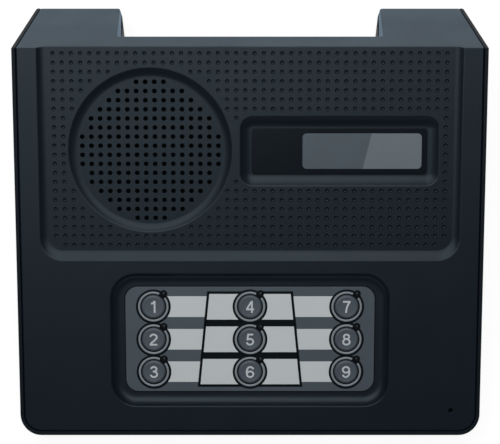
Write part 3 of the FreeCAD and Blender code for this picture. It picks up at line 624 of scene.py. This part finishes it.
def build_cover():
    """The moulded cover, from the recesses of its face out to the rolled edge and the rear slope."""
    skin = Skin()

    def sink(outline, run, top, depth, power):
        return recess(skin, outline(0), outline(run), top, depth, lambda length: power)

    def dish_outline(inset):
        return circle(dish_centre, dish_radius - inset, dish_sides)

    field_outer, field_inner = recess(skin, *field_outlines(), 0, field_depth, field_power, closed=False)
    badge_outline = partial(rounded_rectangle, badge_centre, badge_size, badge_corner_radius)
    panel_outline = partial(rounded_rectangle, panel_centre, panel_size, panel_corner_radius)
    dish_outer, dish_inner = sink(dish_outline, dish_run, field_level, dish_depth - dish_bowl, dish_power)
    badge_outer, badge_inner = sink(badge_outline, badge_run, field_level, badge_depth, badge_power)
    panel_outer, panel_inner = sink(panel_outline, panel_run, 0, panel_depth, panel_power)
    dimples = [dimple(skin, place, field_level) for place in dimple_places()]
    dish_back = dish_level - cover_wall
    grille = []
    for place in grille_places():
        grille.append(drill(skin, place, grille_hole_radius, small_sides, dish_surface, dish_back))
    holes = [drill(skin, *hole, lambda p: panel_level, panel_level - cover_wall) for hole in panel_holes()]
    mic = drill(skin, mic_centre, mic_hole_radius, small_sides, lambda p: 0, -cover_wall)
    skin.fill_level([field_inner, dish_outer, badge_outer] + dimples, field_level)
    skin.fill([dish_inner] + grille, lambda p: on_face(p, dish_surface(p)), OUT_OF_FACE)
    skin.fill_level([badge_inner], badge_level)
    skin.fill_level([panel_inner] + holes, panel_level)

    # The bend over the ridge follows the field's step at both ends
    half = cover_half - edge_round
    side_slope = hollow_slope(field_side_run, field_depth, field_side_power)
    slope = [(reach - field_width / 2, drop) for reach, drop in side_slope]
    stops = [(-half, 0.0)] + slope + [(-x, level) for x, level in slope[::-1]] + [(half, 0.0)]
    columns = [[point + ACROSS * x for point in ridge_bend(level)] for x, level in stops]
    rows = [list(row) for row in zip(*columns)]
    skin.band(rows, step_normals(stops), OUT_OF_REAR, OUT_OF_FACE, closed=False)

    # The rolled outer edge, from the top surfaces over to the skirt and round its lower rim
    side_stops = [point.y for point in ridge_bend(0)]
    rim = plan_outline(0, 0, side_stops)
    rings = []
    for back, down in quarter_round(round_steps):
        outline = plan_outline(edge_round * back, edge_round * back, side_stops)
        rings.append([Vector((p.x, p.y, top_height(p.y) - edge_round * down)) for p in outline])
    ledge = plan_outline(-seam_ledge, 0, side_stops)
    rings.append([Vector((p.x, p.y, top_height(q.y) - edge_round)) for p, q in zip(ledge, rim)])
    rings.append([Vector((p.x, p.y, skirt_foot(q.y))) for p, q in zip(ledge, rim)])
    skin.band(rings, hint=UP)
    inner = plan_outline(cover_wall / 2, cover_wall / 2, side_stops)
    foot = [Vector((p.x, p.y, skirt_foot(q.y))) for p, q in zip(inner, rim)]
    skin.band([rings[-1], foot], hint=-UP)

    # The flat land round the field, and the rear slope round the cable bay
    edge = plan_outline(edge_round, edge_round, side_stops)

    def edge_index(y, side):
        return next(i for i, p in enumerate(edge) if abs(p.y - y) < closeness and p.x * side > 0)

    face_y = side_stops[0]
    rear_top_y = side_stops[-1]
    front_edge = edge[edge_index(face_y, -1) :] + edge[: edge_index(face_y, 1) + 1]
    land = [Vector((p.x, (ridge_y - p.y) / math.cos(face_angle))) for p in front_edge]
    land += [Vector((x, bend_reach)) for x, level in stops[::-1] if x > 0 and level == 0][1:]
    land += field_outer[::-1]
    skin.fill_level([clean(land), panel_outer, mic], 0)
    rear = edge[edge_index(rear_top_y, 1) : edge_index(rear_top_y, -1) + 1]
    rear += [Vector((x, rear_top_y)) for x, level in stops[1:-1]]
    skin.fill([rear], lambda p: Vector((p.x, p.y, top_height(p.y))), OUT_OF_REAR)
    fit(skin.build("cover", case_top), "case_top", "top_cover")


def step_normals(stops):
    """Normals along the field's cross-section, from its (across, level) points."""
    normals = [OUT_OF_FACE] * len(stops)
    for i in range(2, len(stops) - 2):
        (x_before, before), (x_after, after) = stops[i - 1], stops[i + 1]
        if x_after - x_before < 2 * field_side_run:
            normals[i] = (OUT_OF_FACE * (x_after - x_before) - ACROSS * (after - before)).normalized()
    return normals


def skirt_foot(y):
    drop = skirt_depth / math.cos(face_angle if y < ridge_y else rear_angle)
    return max(top_height(y) - drop, seam_height)


def clean(loop):
    """The loop without points that lie on the one before."""
    return [p for i, p in enumerate(loop) if (p - loop[i - 1]).length > loop_closeness]


def fit(piece, slot_name, *nodes, body="housing"):
    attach(piece, body)
    if nodes:
        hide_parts(*nodes)


def plate(skin, outline, low, high, lip, holes=(), closed=True):
    """A flat plate with softly broken edges. outline gives its loop at an inset."""
    rings = [lifted(outline(lip * back), high - lip * down) for back, down in quarter_round()]
    skin.band(rings + [lifted(outline(0), low)], OUT_OF_FACE, closed=closed)
    drilled = [drill(skin, *hole, lambda p: high, low) for hole in holes]
    skin.fill_level([outline(lip)] + drilled, high)


def shoulder(radius, level, width, drop, steps=round_steps - 1):
    """(radius, level) points from a flat top round to an upright side."""
    return [(radius - width * back, level - drop * down) for back, down in quarter_round(steps)]


def turned(skin, centre, section, sides, up=OUT_OF_FACE, place=on_face):
    """A piece turned about an axis along up, from (radius, level) points listed from its middle outwards."""
    if section[0][0] == 0:
        ring = [place(p, section[1][1]) for p in circle(centre, section[1][0], sides)]
        skin.fan(ring, place(centre, section[0][1]), [up] * sides, up)
        section = section[1:]
    skin.band([[place(p, level) for p in circle(centre, radius, sides)] for radius, level in section], up)


def linear(red, green, blue):
    """A colour from 0 to 255 as it looks on a screen, in Blender's own values."""
    values = []
    for value in (red, green, blue):
        share = value / 255
        values.append(share / 12.92 if share <= 0.04045 else ((share + 0.055) / 1.055) ** 2.4)
    return (*values, 1.0)


def new_material(name):
    material = bpy.data.materials.new(name)
    material.use_nodes = True
    return material, material.node_tree.nodes, material.node_tree.links


def set_inputs(node, values):
    for name, value in values.items():
        node.inputs[name].default_value = value


def moulded(
    name, colour, roughness=0.5, grain=0.0, grain_size=0.35, cloud=0.08, coat=0.0, metallic=0.0, specular=0.5
):
    """Plastic, rubber or metal, with a fine grain in its surface, slight clouding of colour and gloss, and
    highlights tinted cool blue as painted light colour.
    """
    material, nodes, links = new_material(name)
    shader = nodes["Principled BSDF"]
    values = {"Metallic": metallic, "Specular IOR Level": specular, "Specular Tint": cool_light_highlight_tint}
    set_inputs(shader, values)
    set_inputs(shader, {"Coat Weight": coat, "Coat Roughness": coat_roughness})
    place = nodes.new("ShaderNodeTexCoord")

    def noise(scale, detail):
        texture = nodes.new("ShaderNodeTexNoise")
        set_inputs(texture, {"Scale": scale, "Detail": detail})
        links.new(place.outputs["Object"], texture.inputs["Vector"])
        return texture.outputs["Fac"]

    clouds = noise(cloud_scale, cloud_detail)
    tone = nodes.new("ShaderNodeMix")
    tone.data_type = "RGBA"
    for end, factor in (("A", 1 - cloud), ("B", 1 + cloud)):
        tone.inputs[end].default_value = [min(value * factor, 1.0) for value in colour[:3]] + [1.0]
    links.new(clouds, tone.inputs["Factor"])
    links.new(tone.outputs["Result"], shader.inputs["Base Color"])
    gloss = nodes.new("ShaderNodeMapRange")
    least = max(roughness - gloss_change, least_roughness)
    set_inputs(gloss, {"To Min": least, "To Max": roughness + gloss_change})
    links.new(clouds, gloss.inputs["Value"])
    links.new(gloss.outputs["Result"], shader.inputs["Roughness"])
    if grain:
        bump = nodes.new("ShaderNodeBump")
        set_inputs(bump, {"Strength": grain, "Distance": grain_height})
        links.new(noise(1 / MM / grain_size, grain_detail), bump.inputs["Height"])
        links.new(bump.outputs["Normal"], shader.inputs["Normal"])
    return material


def add_painted_cool_sheen(material, tint, roughness):
    """A coat with a cool tint and almost no reflection of its own: its tint deepens where the surface is seen
    at a low angle, as painted cool sheen that stands in for bluish light reflected there.
    """
    values = {"Coat Weight": 1.0, "Coat Roughness": roughness, "Coat IOR": sheen_coat_index, "Coat Tint": tint}
    set_inputs(material.node_tree.nodes["Principled BSDF"], values)


case_top = moulded("case_top", linear(10, 17, 25), 0.4, 0.35, specular=0.27)
# The cover's coat tint: a slight blue tint everywhere, deepening to a painted cool sheen on the steeply seen
# rear slope
add_painted_cool_sheen(case_top, (0.875, 0.935, 0.982, 1.0), 0.4)
case_base = moulded("case_base", linear(8, 14, 22), 0.6, 0.2, specular=0.16)
badge_gloss = moulded("badge_gloss", linear(9, 14, 21), 0.26, cloud=0.03, specular=0.12)
window_dark = moulded("window_dark", linear(62, 70, 78), 0.34, 0.1, 0.2)
window_light = moulded("window_light", linear(91, 98, 104), 0.34, 0.1, 0.2)
overlay_film = moulded("overlay_film", linear(62, 70, 78), 0.42, 0.2, 0.25)
label_white = moulded("label_white", linear(182, 187, 189), 0.45, 0.08, 0.3, cloud=0.03)
# Black print, also used as painted shade in the gaps round the film and the keys
print_and_shade_black = moulded("print_and_shade_black", linear(2, 5, 9), 0.55, 0.1, 0.3, specular=0.12)
ring_grey = moulded("ring_grey", linear(120, 127, 133), 0.4, 0.1, 0.3, specular=0.3)
key_grey = moulded("key_grey", linear(62, 69, 77), 0.46, 0.4, 0.3)
digit_white = moulded("digit_white", linear(174, 180, 184), 0.45, 0.1, 0.3)
lamp_clear = moulded("lamp_clear", linear(26, 30, 34), 0.2, coat=0.3)
rubber = moulded("foot_rubber", linear(30, 30, 32), 0.8, 0.5, 0.5)
steel = moulded("spring_steel", linear(168, 170, 174), 0.35, 0.1, metallic=1.0)
gold = moulded("contact_gold", linear(212, 172, 96), 0.3, 0.1, metallic=1.0)
circuit = moulded("circuit_board", linear(30, 92, 58), 0.4, 0.1)
cloth = moulded("cloth_black", linear(7, 8, 9), 0.95, 0.8, 0.4, specular=0.1)

FINISHES = {
    "case_base": case_base,
    "circuit_board": circuit,
    "cloth_black": cloth,
    "spring_steel": steel,
    "foot_rubber": rubber,
    "lamp_clear": lamp_clear,
}

overlay_outline = partial(rounded_rectangle, panel_centre, overlay_size, overlay_corner_radius)


def build_overlay():
    """The film round the keys, with holes for them and for the lamps."""
    skin = Skin()
    plate(skin, overlay_outline, panel_level, overlay_level, thin_lip, panel_holes())
    fit(skin.build("overlay", overlay_film), "overlay_film", "key_overlay")


def frame_half(down):
    """Half the width of the slanted frame at a distance down the face."""
    share = (down - panel_centre.y + frame_height / 2) / frame_height
    return frame_top_half + (frame_end_half - frame_top_half) * share


def slab(skin, loop, thickness):
    """A flat shape that stands up from the film."""
    high = overlay_level + thickness
    skin.band([lifted(loop, high), lifted(loop, overlay_level)], hint=OUT_OF_FACE)
    skin.fill_level([loop], high)


def cut_by_key(place, corners):
    """A strip's outline from its far edge to the arc where the key's outline cuts it."""
    side = math.copysign(1, corners[0].x - place.x)
    start, end = (math.asin((corner.y - place.y) / outline_radius) for corner in corners)
    arc = []
    for step in range(corner_steps + 1):
        turn = end + (start - end) * step / corner_steps
        arc.append(place + Vector((side * math.cos(turn), math.sin(turn))) * outline_radius)
    return corners + arc


def build_strips():
    """White name strips: one beside each outer key, and one on each side of the middle keys."""
    skin = Skin()
    for place in key_places():
        half = strip_height / 2 if place.x else (key_pitch.y - frame_bar) / 2
        for side in (math.copysign(1, place.x),) if place.x else (-1, 1):
            far = [Vector((side * frame_half(y), y)) for y in (place.y - half, place.y + half)]
            slab(skin, cut_by_key(place, far), strip_thickness)
    fit(skin.build("name_strips", label_white), "label_white", "name_labels")


def build_print_and_gap_shade():
    """The slanted black frame, its bars between the rows, a black band round the film that is painted shade
    of its gap, and black discs under the keys' rings that are printed outlines outside the rings and painted
    shade of the gaps round the keys inside them.
    """
    skin = Skin()
    top = panel_centre.y - frame_height / 2
    end = panel_centre.y + frame_height / 2
    for side in (-1, 1):
        loop = []
        for shift, ends in ((frame_line / 2, (top, end)), (-frame_line / 2, (end, top))):
            loop += [Vector((side * (frame_half(y) + shift), y)) for y in ends]
        slab(skin, loop, line_thickness)
    bars = [(top, top + frame_line), (end - frame_line, end)]
    for step in centred(key_count - 1):
        middle = panel_centre.y + step * key_pitch.y
        bars.append((middle - frame_bar / 2, middle + frame_bar / 2))
    for first, last in bars:
        corners = ((-1, first), (1, first), (1, last), (-1, last))
        slab(skin, [Vector((side * frame_half(y), y)) for side, y in corners], line_thickness)
    # The black band round the film is painted shade of the gap there
    insets = (film_gap_shade_inset, film_gap_shade_inset + film_gap_shade_width)
    film_gap_shade = [lifted(overlay_outline(inset), panel_level + film_gap_shade_lift) for inset in insets]
    skin.band(film_gap_shade, OUT_OF_FACE, OUT_OF_FACE)
    # Black discs under the rings: printed outlines outside them, painted shade over the gap round each key
    # inside them
    high = overlay_level + line_thickness + outline_lift
    disc = [(key_radius + gap_shade_clearance, high), (outline_radius, high), (outline_radius, overlay_level)]
    for place in key_places():
        turned(skin, place, disc, key_sides)
    fit(skin.build("print_and_gap_shade", print_and_shade_black), "overlay_film")


def build_key_rings():
    """A raised grey ring round each key, broken at its lamp."""
    skin = Skin()
    half = (ring_outer_radius - ring_inner_radius) / 2
    middle = ring_inner_radius + half
    low = overlay_level + line_thickness + outline_lift
    first = math.atan2(lamp_offset.y, lamp_offset.x) + ring_gap
    around = [first + 2 * (math.pi - ring_gap) * stop / key_sides for stop in range(key_sides + 1)]
    for place in key_places():
        rows = []
        for step in range(ring_steps + 1):
            turn = math.pi * step / ring_steps
            reach = middle - half * math.cos(turn)
            arc = [place + direction(angle) * reach for angle in around]
            rows.append(lifted(arc, low + ring_height * math.sin(turn)))
        skin.band(rows, hint=OUT_OF_FACE, closed=False)
    fit(skin.build("key_rings", ring_grey), "key_grey")


def build_lamps():
    """Domed lamp tips in dark bezels."""
    tips = Skin()
    bezels = Skin()
    tip = [(radius, overlay_level + lamp_proud - drop) for radius, drop in lamp_tip_top]
    tip.append((lamp_tip_radius, overlay_level - lamp_tip_depth))
    bezel = [(bezel_mouth_radius, overlay_level - bezel_mouth_depth)]
    bezel += [(radius, overlay_level + bezel_proud - drop) for radius, drop in bezel_top]
    bezel.append((bezel_radius, overlay_level))
    for place in key_places():
        centre = place + lamp_offset
        turned(tips, centre, tip, small_sides)
        rings = [lifted(circle(centre, radius, bezel_sides), level) for radius, level in bezel]
        bezels.band(rings, hint=OUT_OF_FACE)
    fit(tips.build("lamp_tips", lamp_clear), "lamp_clear", "led_lenses")
    fit(bezels.build("lamp_bezels", print_and_shade_black), "socket_black")


def key_top(share):
    """The level of a key's hollow top at a share of its radius."""
    return overlay_level + key_proud - key_hollow * (1 - share**key_hollow_power)


def build_key(number, place):
    """A key cap with a softly rounded rim and a shallow hollow on top."""
    skin = Skin()
    high = overlay_level + key_proud
    section = [(key_radius * share, key_top(share)) for share in key_hollow_shares]
    section += shoulder(key_radius, high, key_shoulder, key_shoulder_drop, round_steps)
    turned(skin, place, section + [(key_radius, high - key_bottom)], key_sides)
    fit(skin.build("key_%d" % number, key_grey), "key_grey", "key_cap_%d" % number, body="key_%d" % number)


def build_felt():
    """A dark felt disc low in the microphone's hole."""
    skin = Skin()
    reach = mic_hole_radius - felt_gap
    top = felt_thickness - cover_wall
    turned(skin, mic_centre, [(0, top), (reach, top), (reach, -cover_wall)], small_sides)
    fit(skin.build("mic_felt", cloth), "cloth_black")


def bow(x, y, across, up, first, last):
    """Points along part of an ellipse, between two angles in degrees."""
    points = []
    for step in range(bow_steps + 1):
        turn = math.radians(first + (last - first) * step / bow_steps)
        points.append((x + across * math.cos(turn), y + up * math.sin(turn)))
    return points


# The middle lines of the digits' strokes, in a box one high with its corner at the lower left
SIX = [bow(0.36, 0.315, 0.265, 0.2425, 0, 360), bow(0.375, 0.52, 0.3, 0.4075, 200, 32)]
DIGITS = {
    1: [[(0.14, 0.775), (0.27, 0.79), (0.36, 0.86), (0.4, 0.98)], [(0.43, 1.0), (0.43, 0.0)]],
    2: [
        bow(0.35, 0.7, 0.265, 0.2275, 175, -35) + [(0.4, 0.4), (0.2, 0.235), (0.12, 0.13), (0.1, 0.07)],
        [(0.03, 0.0725), (0.66, 0.0725)],
    ],
    3: [
        bow(0.35, 0.735, 0.225, 0.1925, 170, -75) + [(0.27, 0.54)],
        [(0.27, 0.54)] + bow(0.35, 0.305, 0.27, 0.2325, 78, -170),
    ],
    4: [[(0.5, 1.0), (0.5, 0.0)], [(0.47, 0.95), (0.07, 0.3)], [(0.02, 0.2975), (0.68, 0.2975)]],
    5: [
        [(0.15, 0.9275), (0.61, 0.9275)],
        [(0.195, 0.95), (0.135, 0.47)],
        bow(0.345, 0.315, 0.27, 0.2425, 148, -168),
    ],
    6: SIX,
    7: [[(0.04, 0.9275), (0.66, 0.9275)], [(0.61, 0.92), (0.46, 0.69), (0.35, 0.4), (0.29, 0.0)]],
    8: [bow(0.35, 0.735, 0.215, 0.1925, 0, 360), bow(0.35, 0.305, 0.27, 0.2325, 0, 360)],
    9: [[(0.7 - x, 1 - y) for x, y in stroke] for stroke in SIX],
}


def stroke_cells(line):
    """The four-sided cells of a stroke along a line."""
    line = [Vector(point) for point in line]
    sides = []
    for index, point in enumerate(line):
        ahead = (line[min(index + 1, len(line) - 1)] - line[max(index - 1, 0)]).normalized()
        if (line[0] - line[-1]).length < closeness and index in (0, len(line) - 1):
            ahead = (line[1] - line[-2]).normalized()
        out = Vector((-ahead.y, ahead.x)) * digit_stroke / 2
        sides.append((point + out, point - out))
    return [[a, b, d, c] for (a, b), (c, d) in zip(sides, sides[1:])]


def build_digit(number, place):
    """The digit printed on a key. It follows the key's shallow hollow."""
    corners = [corner for line in DIGITS[number] for cell in stroke_cells(line) for corner in cell]
    cells = [list(range(first, first + 4)) for first in range(0, len(corners), 4)]
    points, _, faces, _, _, owners = delaunay_2d_cdt(corners, [], cells, inside_only, digit_closeness)
    middle = (min(p.x for p in points) + max(p.x for p in points)) / 2
    placed = []
    for point in points:
        offset = Vector((point.x - middle, 0.5 - point.y)) * digit_height
        placed.append(on_face(place + offset, key_top(offset.length / key_radius) + digit_lift))
    skin = Skin()
    base = skin.add(placed, [OUT_OF_FACE] * len(placed))
    for face, owner in zip(faces, owners):
        if owner:
            skin.face([base + corner for corner in face])
    fit(skin.build("digit_%d" % number, digit_white), "label_white", body="key_%d" % number)


def build_badge():
    """The glossy plate in the badge's recess."""
    size = badge_size - Vector((2, 2)) * (badge_run + plate_margin)
    outline = partial(rounded_rectangle, badge_centre, size, plate_corner_radius)
    skin = Skin()
    plate(skin, outline, badge_level, badge_level + plate_thickness, plate_lip)
    fit(skin.build("badge", badge_gloss), "badge_gloss", "badge_plate")


def build_window():
    """The badge's grey window, darker to the left of a slanted line."""
    right = badge_centre.x + badge_size.x / 2 - badge_run - plate_margin - window_right_margin
    centre = Vector((right - window_size.x / 2, badge_centre.y))
    low = badge_level + plate_thickness
    skin = Skin()

    def split(y):
        share = (y - centre.y + window_size.y / 2) / window_size.y
        return right - window_size.x + window_split_top - window_split_lean * share

    def half(inset):
        return half_loop(rounded_rectangle(centre, window_size, window_corner_radius, inset), split, side)

    for kind, side in enumerate((-1, 1)):
        skin.kind = kind
        plate(skin, half, low, low + window_thickness, thin_lip, closed=False)
    fit(skin.build("window", window_dark, window_light), "window_grey", "badge_window")


def half_loop(loop, split, side):
    """The part of a closed outline on one side of the slanted line, from one end of the line to the other."""
    kept = [side * (p.x - split(p.y)) > 0 for p in loop]
    first = next(i for i in range(len(loop)) if kept[i] and not kept[i - 1])
    run = [loop[i] for i in (*range(first, len(loop)), *range(first)) if kept[i]]
    start, end = (Vector((split(p.y), p.y)) for p in (run[0], run[-1]))
    return [start, *run, end]


def cross(centre):
    """The outline of a screw's cross-shaped recess."""
    quarter = (
        Vector((screw_cross_reach, -screw_cross_half)),
        Vector((screw_cross_reach, screw_cross_half)),
        Vector((screw_cross_half, screw_cross_half)),
    )
    return [centre + Matrix.Rotation(math.pi / 2 * turn, 2) @ point for turn in range(4) for point in quarter]


def build_screws():
    """The case screws: round heads with a cross-shaped recess, seen in their wells under the tray."""

    def below(point, level):
        return Vector((point.x, point.y, -level))

    skin = Skin()
    for across, inset, seat in case_screw_pairs:
        low = screw_head_height - seat
        head = shoulder(screw_head_radius, low, screw_head_round, screw_head_round)
        head.append((screw_head_radius, -seat))
        for side in (-1, 1):
            centre = Vector((side * across, (front_y if inset > 0 else rear_y) + inset))
            turned(skin, centre, head, head_sides, -UP, below)
            shank = circle(centre, screw_shank_radius, shank_sides)
            ends = (-seat, -seat - screw_shank_length)
            skin.band([[below(p, level) for p in shank] for level in ends], hint=ACROSS)
            rim = circle(centre, head[0][0], head_sides)
            slot = cross(centre)
            outlines = [list(range(head_sides)), list(range(head_sides, head_sides + len(slot)))]
            points, _, faces, _, _, owners = delaunay_2d_cdt(rim + slot, [], outlines, inside_only, closeness)
            for in_slot, level in ((False, low), (True, low - screw_cross_depth)):
                base = skin.add([below(point, level) for point in points], [-UP] * len(points))
                for face, owner in zip(faces, owners):
                    if (1 in owner) == in_slot:
                        skin.face([base + corner for corner in face])
            for first, second in zip(slot, slot[1:] + slot[:1]):
                inwards = Vector((first.y - second.y, second.x - first.x, 0)).normalized()
                wall = [below(p, level) for level in (low, low - screw_cross_depth) for p in (first, second)]
                skin.quads(skin.add(wall, [inwards] * 4), 2, 2, closed=False)
    fit(skin.build("screws", steel), "spring_steel", "case_screws")


def box_of(name):
    """The lower and upper corners of one of the solids."""
    node = frame["nodes"][name]
    corners = [node.matrix_world @ Vector(corner) / MM for corner in node.bound_box]
    return [Vector([pick(values) for values in zip(*corners)]) for pick in (min, max)]


def build_contacts(number):
    """A line socket's row of contacts, which slope up from the mouth's sill into the socket."""
    low, high = box_of("line_jack_%d" % number)
    start = Vector(((low.x + high.x) / 2, high.y, low.z + jack_mouth_lift))
    half = contact_width / 2
    skin = Skin()
    for step in centred(contact_count):
        across = step * contact_pitch
        corners = ((-half, 0), (half, 0), (half, contact_thickness), (-half, contact_thickness))
        lines = [[start + Vector((across + x, y, z + lift)) for y, z in contact_path] for x, lift in corners]
        for first, second, out in zip(lines, lines[1:] + lines[:1], (-UP, ACROSS, UP, -ACROSS)):
            skin.band([list(pair) for pair in zip(first, second)], hint=out, closed=False)
    fit(skin.build("line_contacts_%d" % number, gold), "spring_steel")


def build_power_pin():
    """The power socket's centre pin, with a rounded tip."""
    low, high = box_of("power_jack")
    centre = Vector(((low.x + high.x) / 2, (low.z + high.z) / 2))
    section = [(0, power_pin_proud)]
    section += shoulder(power_pin_radius, power_pin_proud, power_pin_round, power_pin_round)
    section.append((power_pin_radius, -power_pin_length))

    def behind(point, level):
        return Vector((point.x, high.y + level, point.y))

    skin = Skin()
    turned(skin, centre, section, pin_sides, BACKWARDS, behind)
    fit(skin.build("power_pin", steel), "spring_steel")


build_cover()
build_overlay()
build_strips()
build_print_and_gap_shade()
build_key_rings()
build_lamps()
build_felt()
for number, place in enumerate(key_places(), start=1):
    build_key(number, place)
    build_digit(number, place)
build_badge()
build_window()
build_screws()
for number in (1, 2):
    build_contacts(number)
build_power_pin()


def soften(node, width):
    """Rounds the edges of one of the solids by a width."""
    weld = node.modifiers.new("weld", "WELD")
    weld.merge_threshold = weld_distance * MM
    merge = node.modifiers.new("merge", "DECIMATE")
    merge.decimate_type = "DISSOLVE"
    merge.angle_limit = flat_angle
    bevel = node.modifiers.new("bevel", "BEVEL")
    bevel.width = width * MM
    bevel.segments = soft_segments
    bevel.limit_method = "ANGLE"
    bevel.angle_limit = sharp_angle
    bevel.use_clamp_overlap = True
    bevel.harden_normals = True


for name, node in frame["nodes"].items():
    if node.hide_render:
        continue
    slot_name = next(s["material_slot"] for s in frame["record"]["subparts"] if s["node"] == name)
    if slot_name not in FINISHES:
        record = next(m for m in frame["record"]["materials"] if m["slot"] == slot_name)
        FINISHES[slot_name] = moulded(slot_name, record["base_color"], plain_roughness, plain_grain)
    node.data.materials.clear()
    node.data.materials.append(FINISHES[slot_name])
    if name in SOFT_EDGES:
        soften(node, SOFT_EDGES[name])


def build_stage():
    """A pale floor that is white to the camera and keeps the shadow."""
    mesh = bpy.data.meshes.new("floor")
    corners = [(x * floor_reach, y * floor_reach, 0) for x, y in ((-1, -1), (1, -1), (1, 1), (-1, 1))]
    mesh.from_pydata(corners, [], [(0, 1, 2, 3)])
    floor = add_object("floor", mesh)
    material, nodes, links = new_material("floor")
    shader = nodes["Principled BSDF"]
    set_inputs(shader, {"Roughness": floor_roughness, "Specular IOR Level": floor_specular})
    set_inputs(shader, {"Base Color": (floor_tone, floor_tone, floor_tone, 1.0)})
    white = nodes.new("ShaderNodeEmission")
    set_inputs(white, {"Color": WHITE, "Strength": floor_white})
    rays = nodes.new("ShaderNodeLightPath")
    seen = rays.outputs["Is Camera Ray"]
    for kind in ("Is Glossy Ray", "Is Transmission Ray"):
        either = nodes.new("ShaderNodeMath")
        either.operation = "MAXIMUM"
        links.new(seen, either.inputs[0])
        links.new(rays.outputs[kind], either.inputs[1])
        seen = either.outputs["Value"]
    share = nodes.new("ShaderNodeMath")
    share.operation = "MULTIPLY"
    share.inputs[1].default_value = floor_white_share
    links.new(seen, share.inputs[0])
    blend = nodes.new("ShaderNodeMixShader")
    links.new(share.outputs["Value"], blend.inputs["Fac"])
    links.new(shader.outputs["BSDF"], blend.inputs[1])
    links.new(white.outputs["Emission"], blend.inputs[2])
    links.new(blend.outputs["Shader"], nodes["Material Output"].inputs["Surface"])
    mesh.materials.append(material)


def build_lights():
    """An even white surround, and one large square lamp above and behind."""
    world = bpy.data.worlds.new("studio")
    world.use_nodes = True
    set_inputs(world.node_tree.nodes["Background"], {"Color": WHITE, "Strength": world_strength})
    bpy.context.scene.world = world
    data = bpy.data.lights.new("key_light", "AREA")
    data.shape = "SQUARE"
    data.size = key_light_size
    data.energy = key_light_power
    light = add_object("key_light", data)
    light.location = key_light_place
    light.rotation_euler = (-Vector(key_light_place)).to_track_quat("-Z", "Y").to_euler()


def build_camera():
    """The camera stands over the upper part of the face and looks almost straight down on it."""
    data = bpy.data.cameras.new("camera")
    data.sensor_width = camera_sensor
    data.lens = camera_lens
    camera = add_object("camera", data)
    camera.location = on_face((0, camera_down), camera_height) * MM
    view = DOWN_FACE * camera_lean - OUT_OF_FACE * math.sqrt(1 - camera_lean**2)
    camera.rotation_euler = view.to_track_quat("-Z", "Y").to_euler()
    bpy.context.scene.camera = camera


build_stage()
build_lights()
build_camera()
bpy.context.scene.view_settings.view_transform = "Standard"
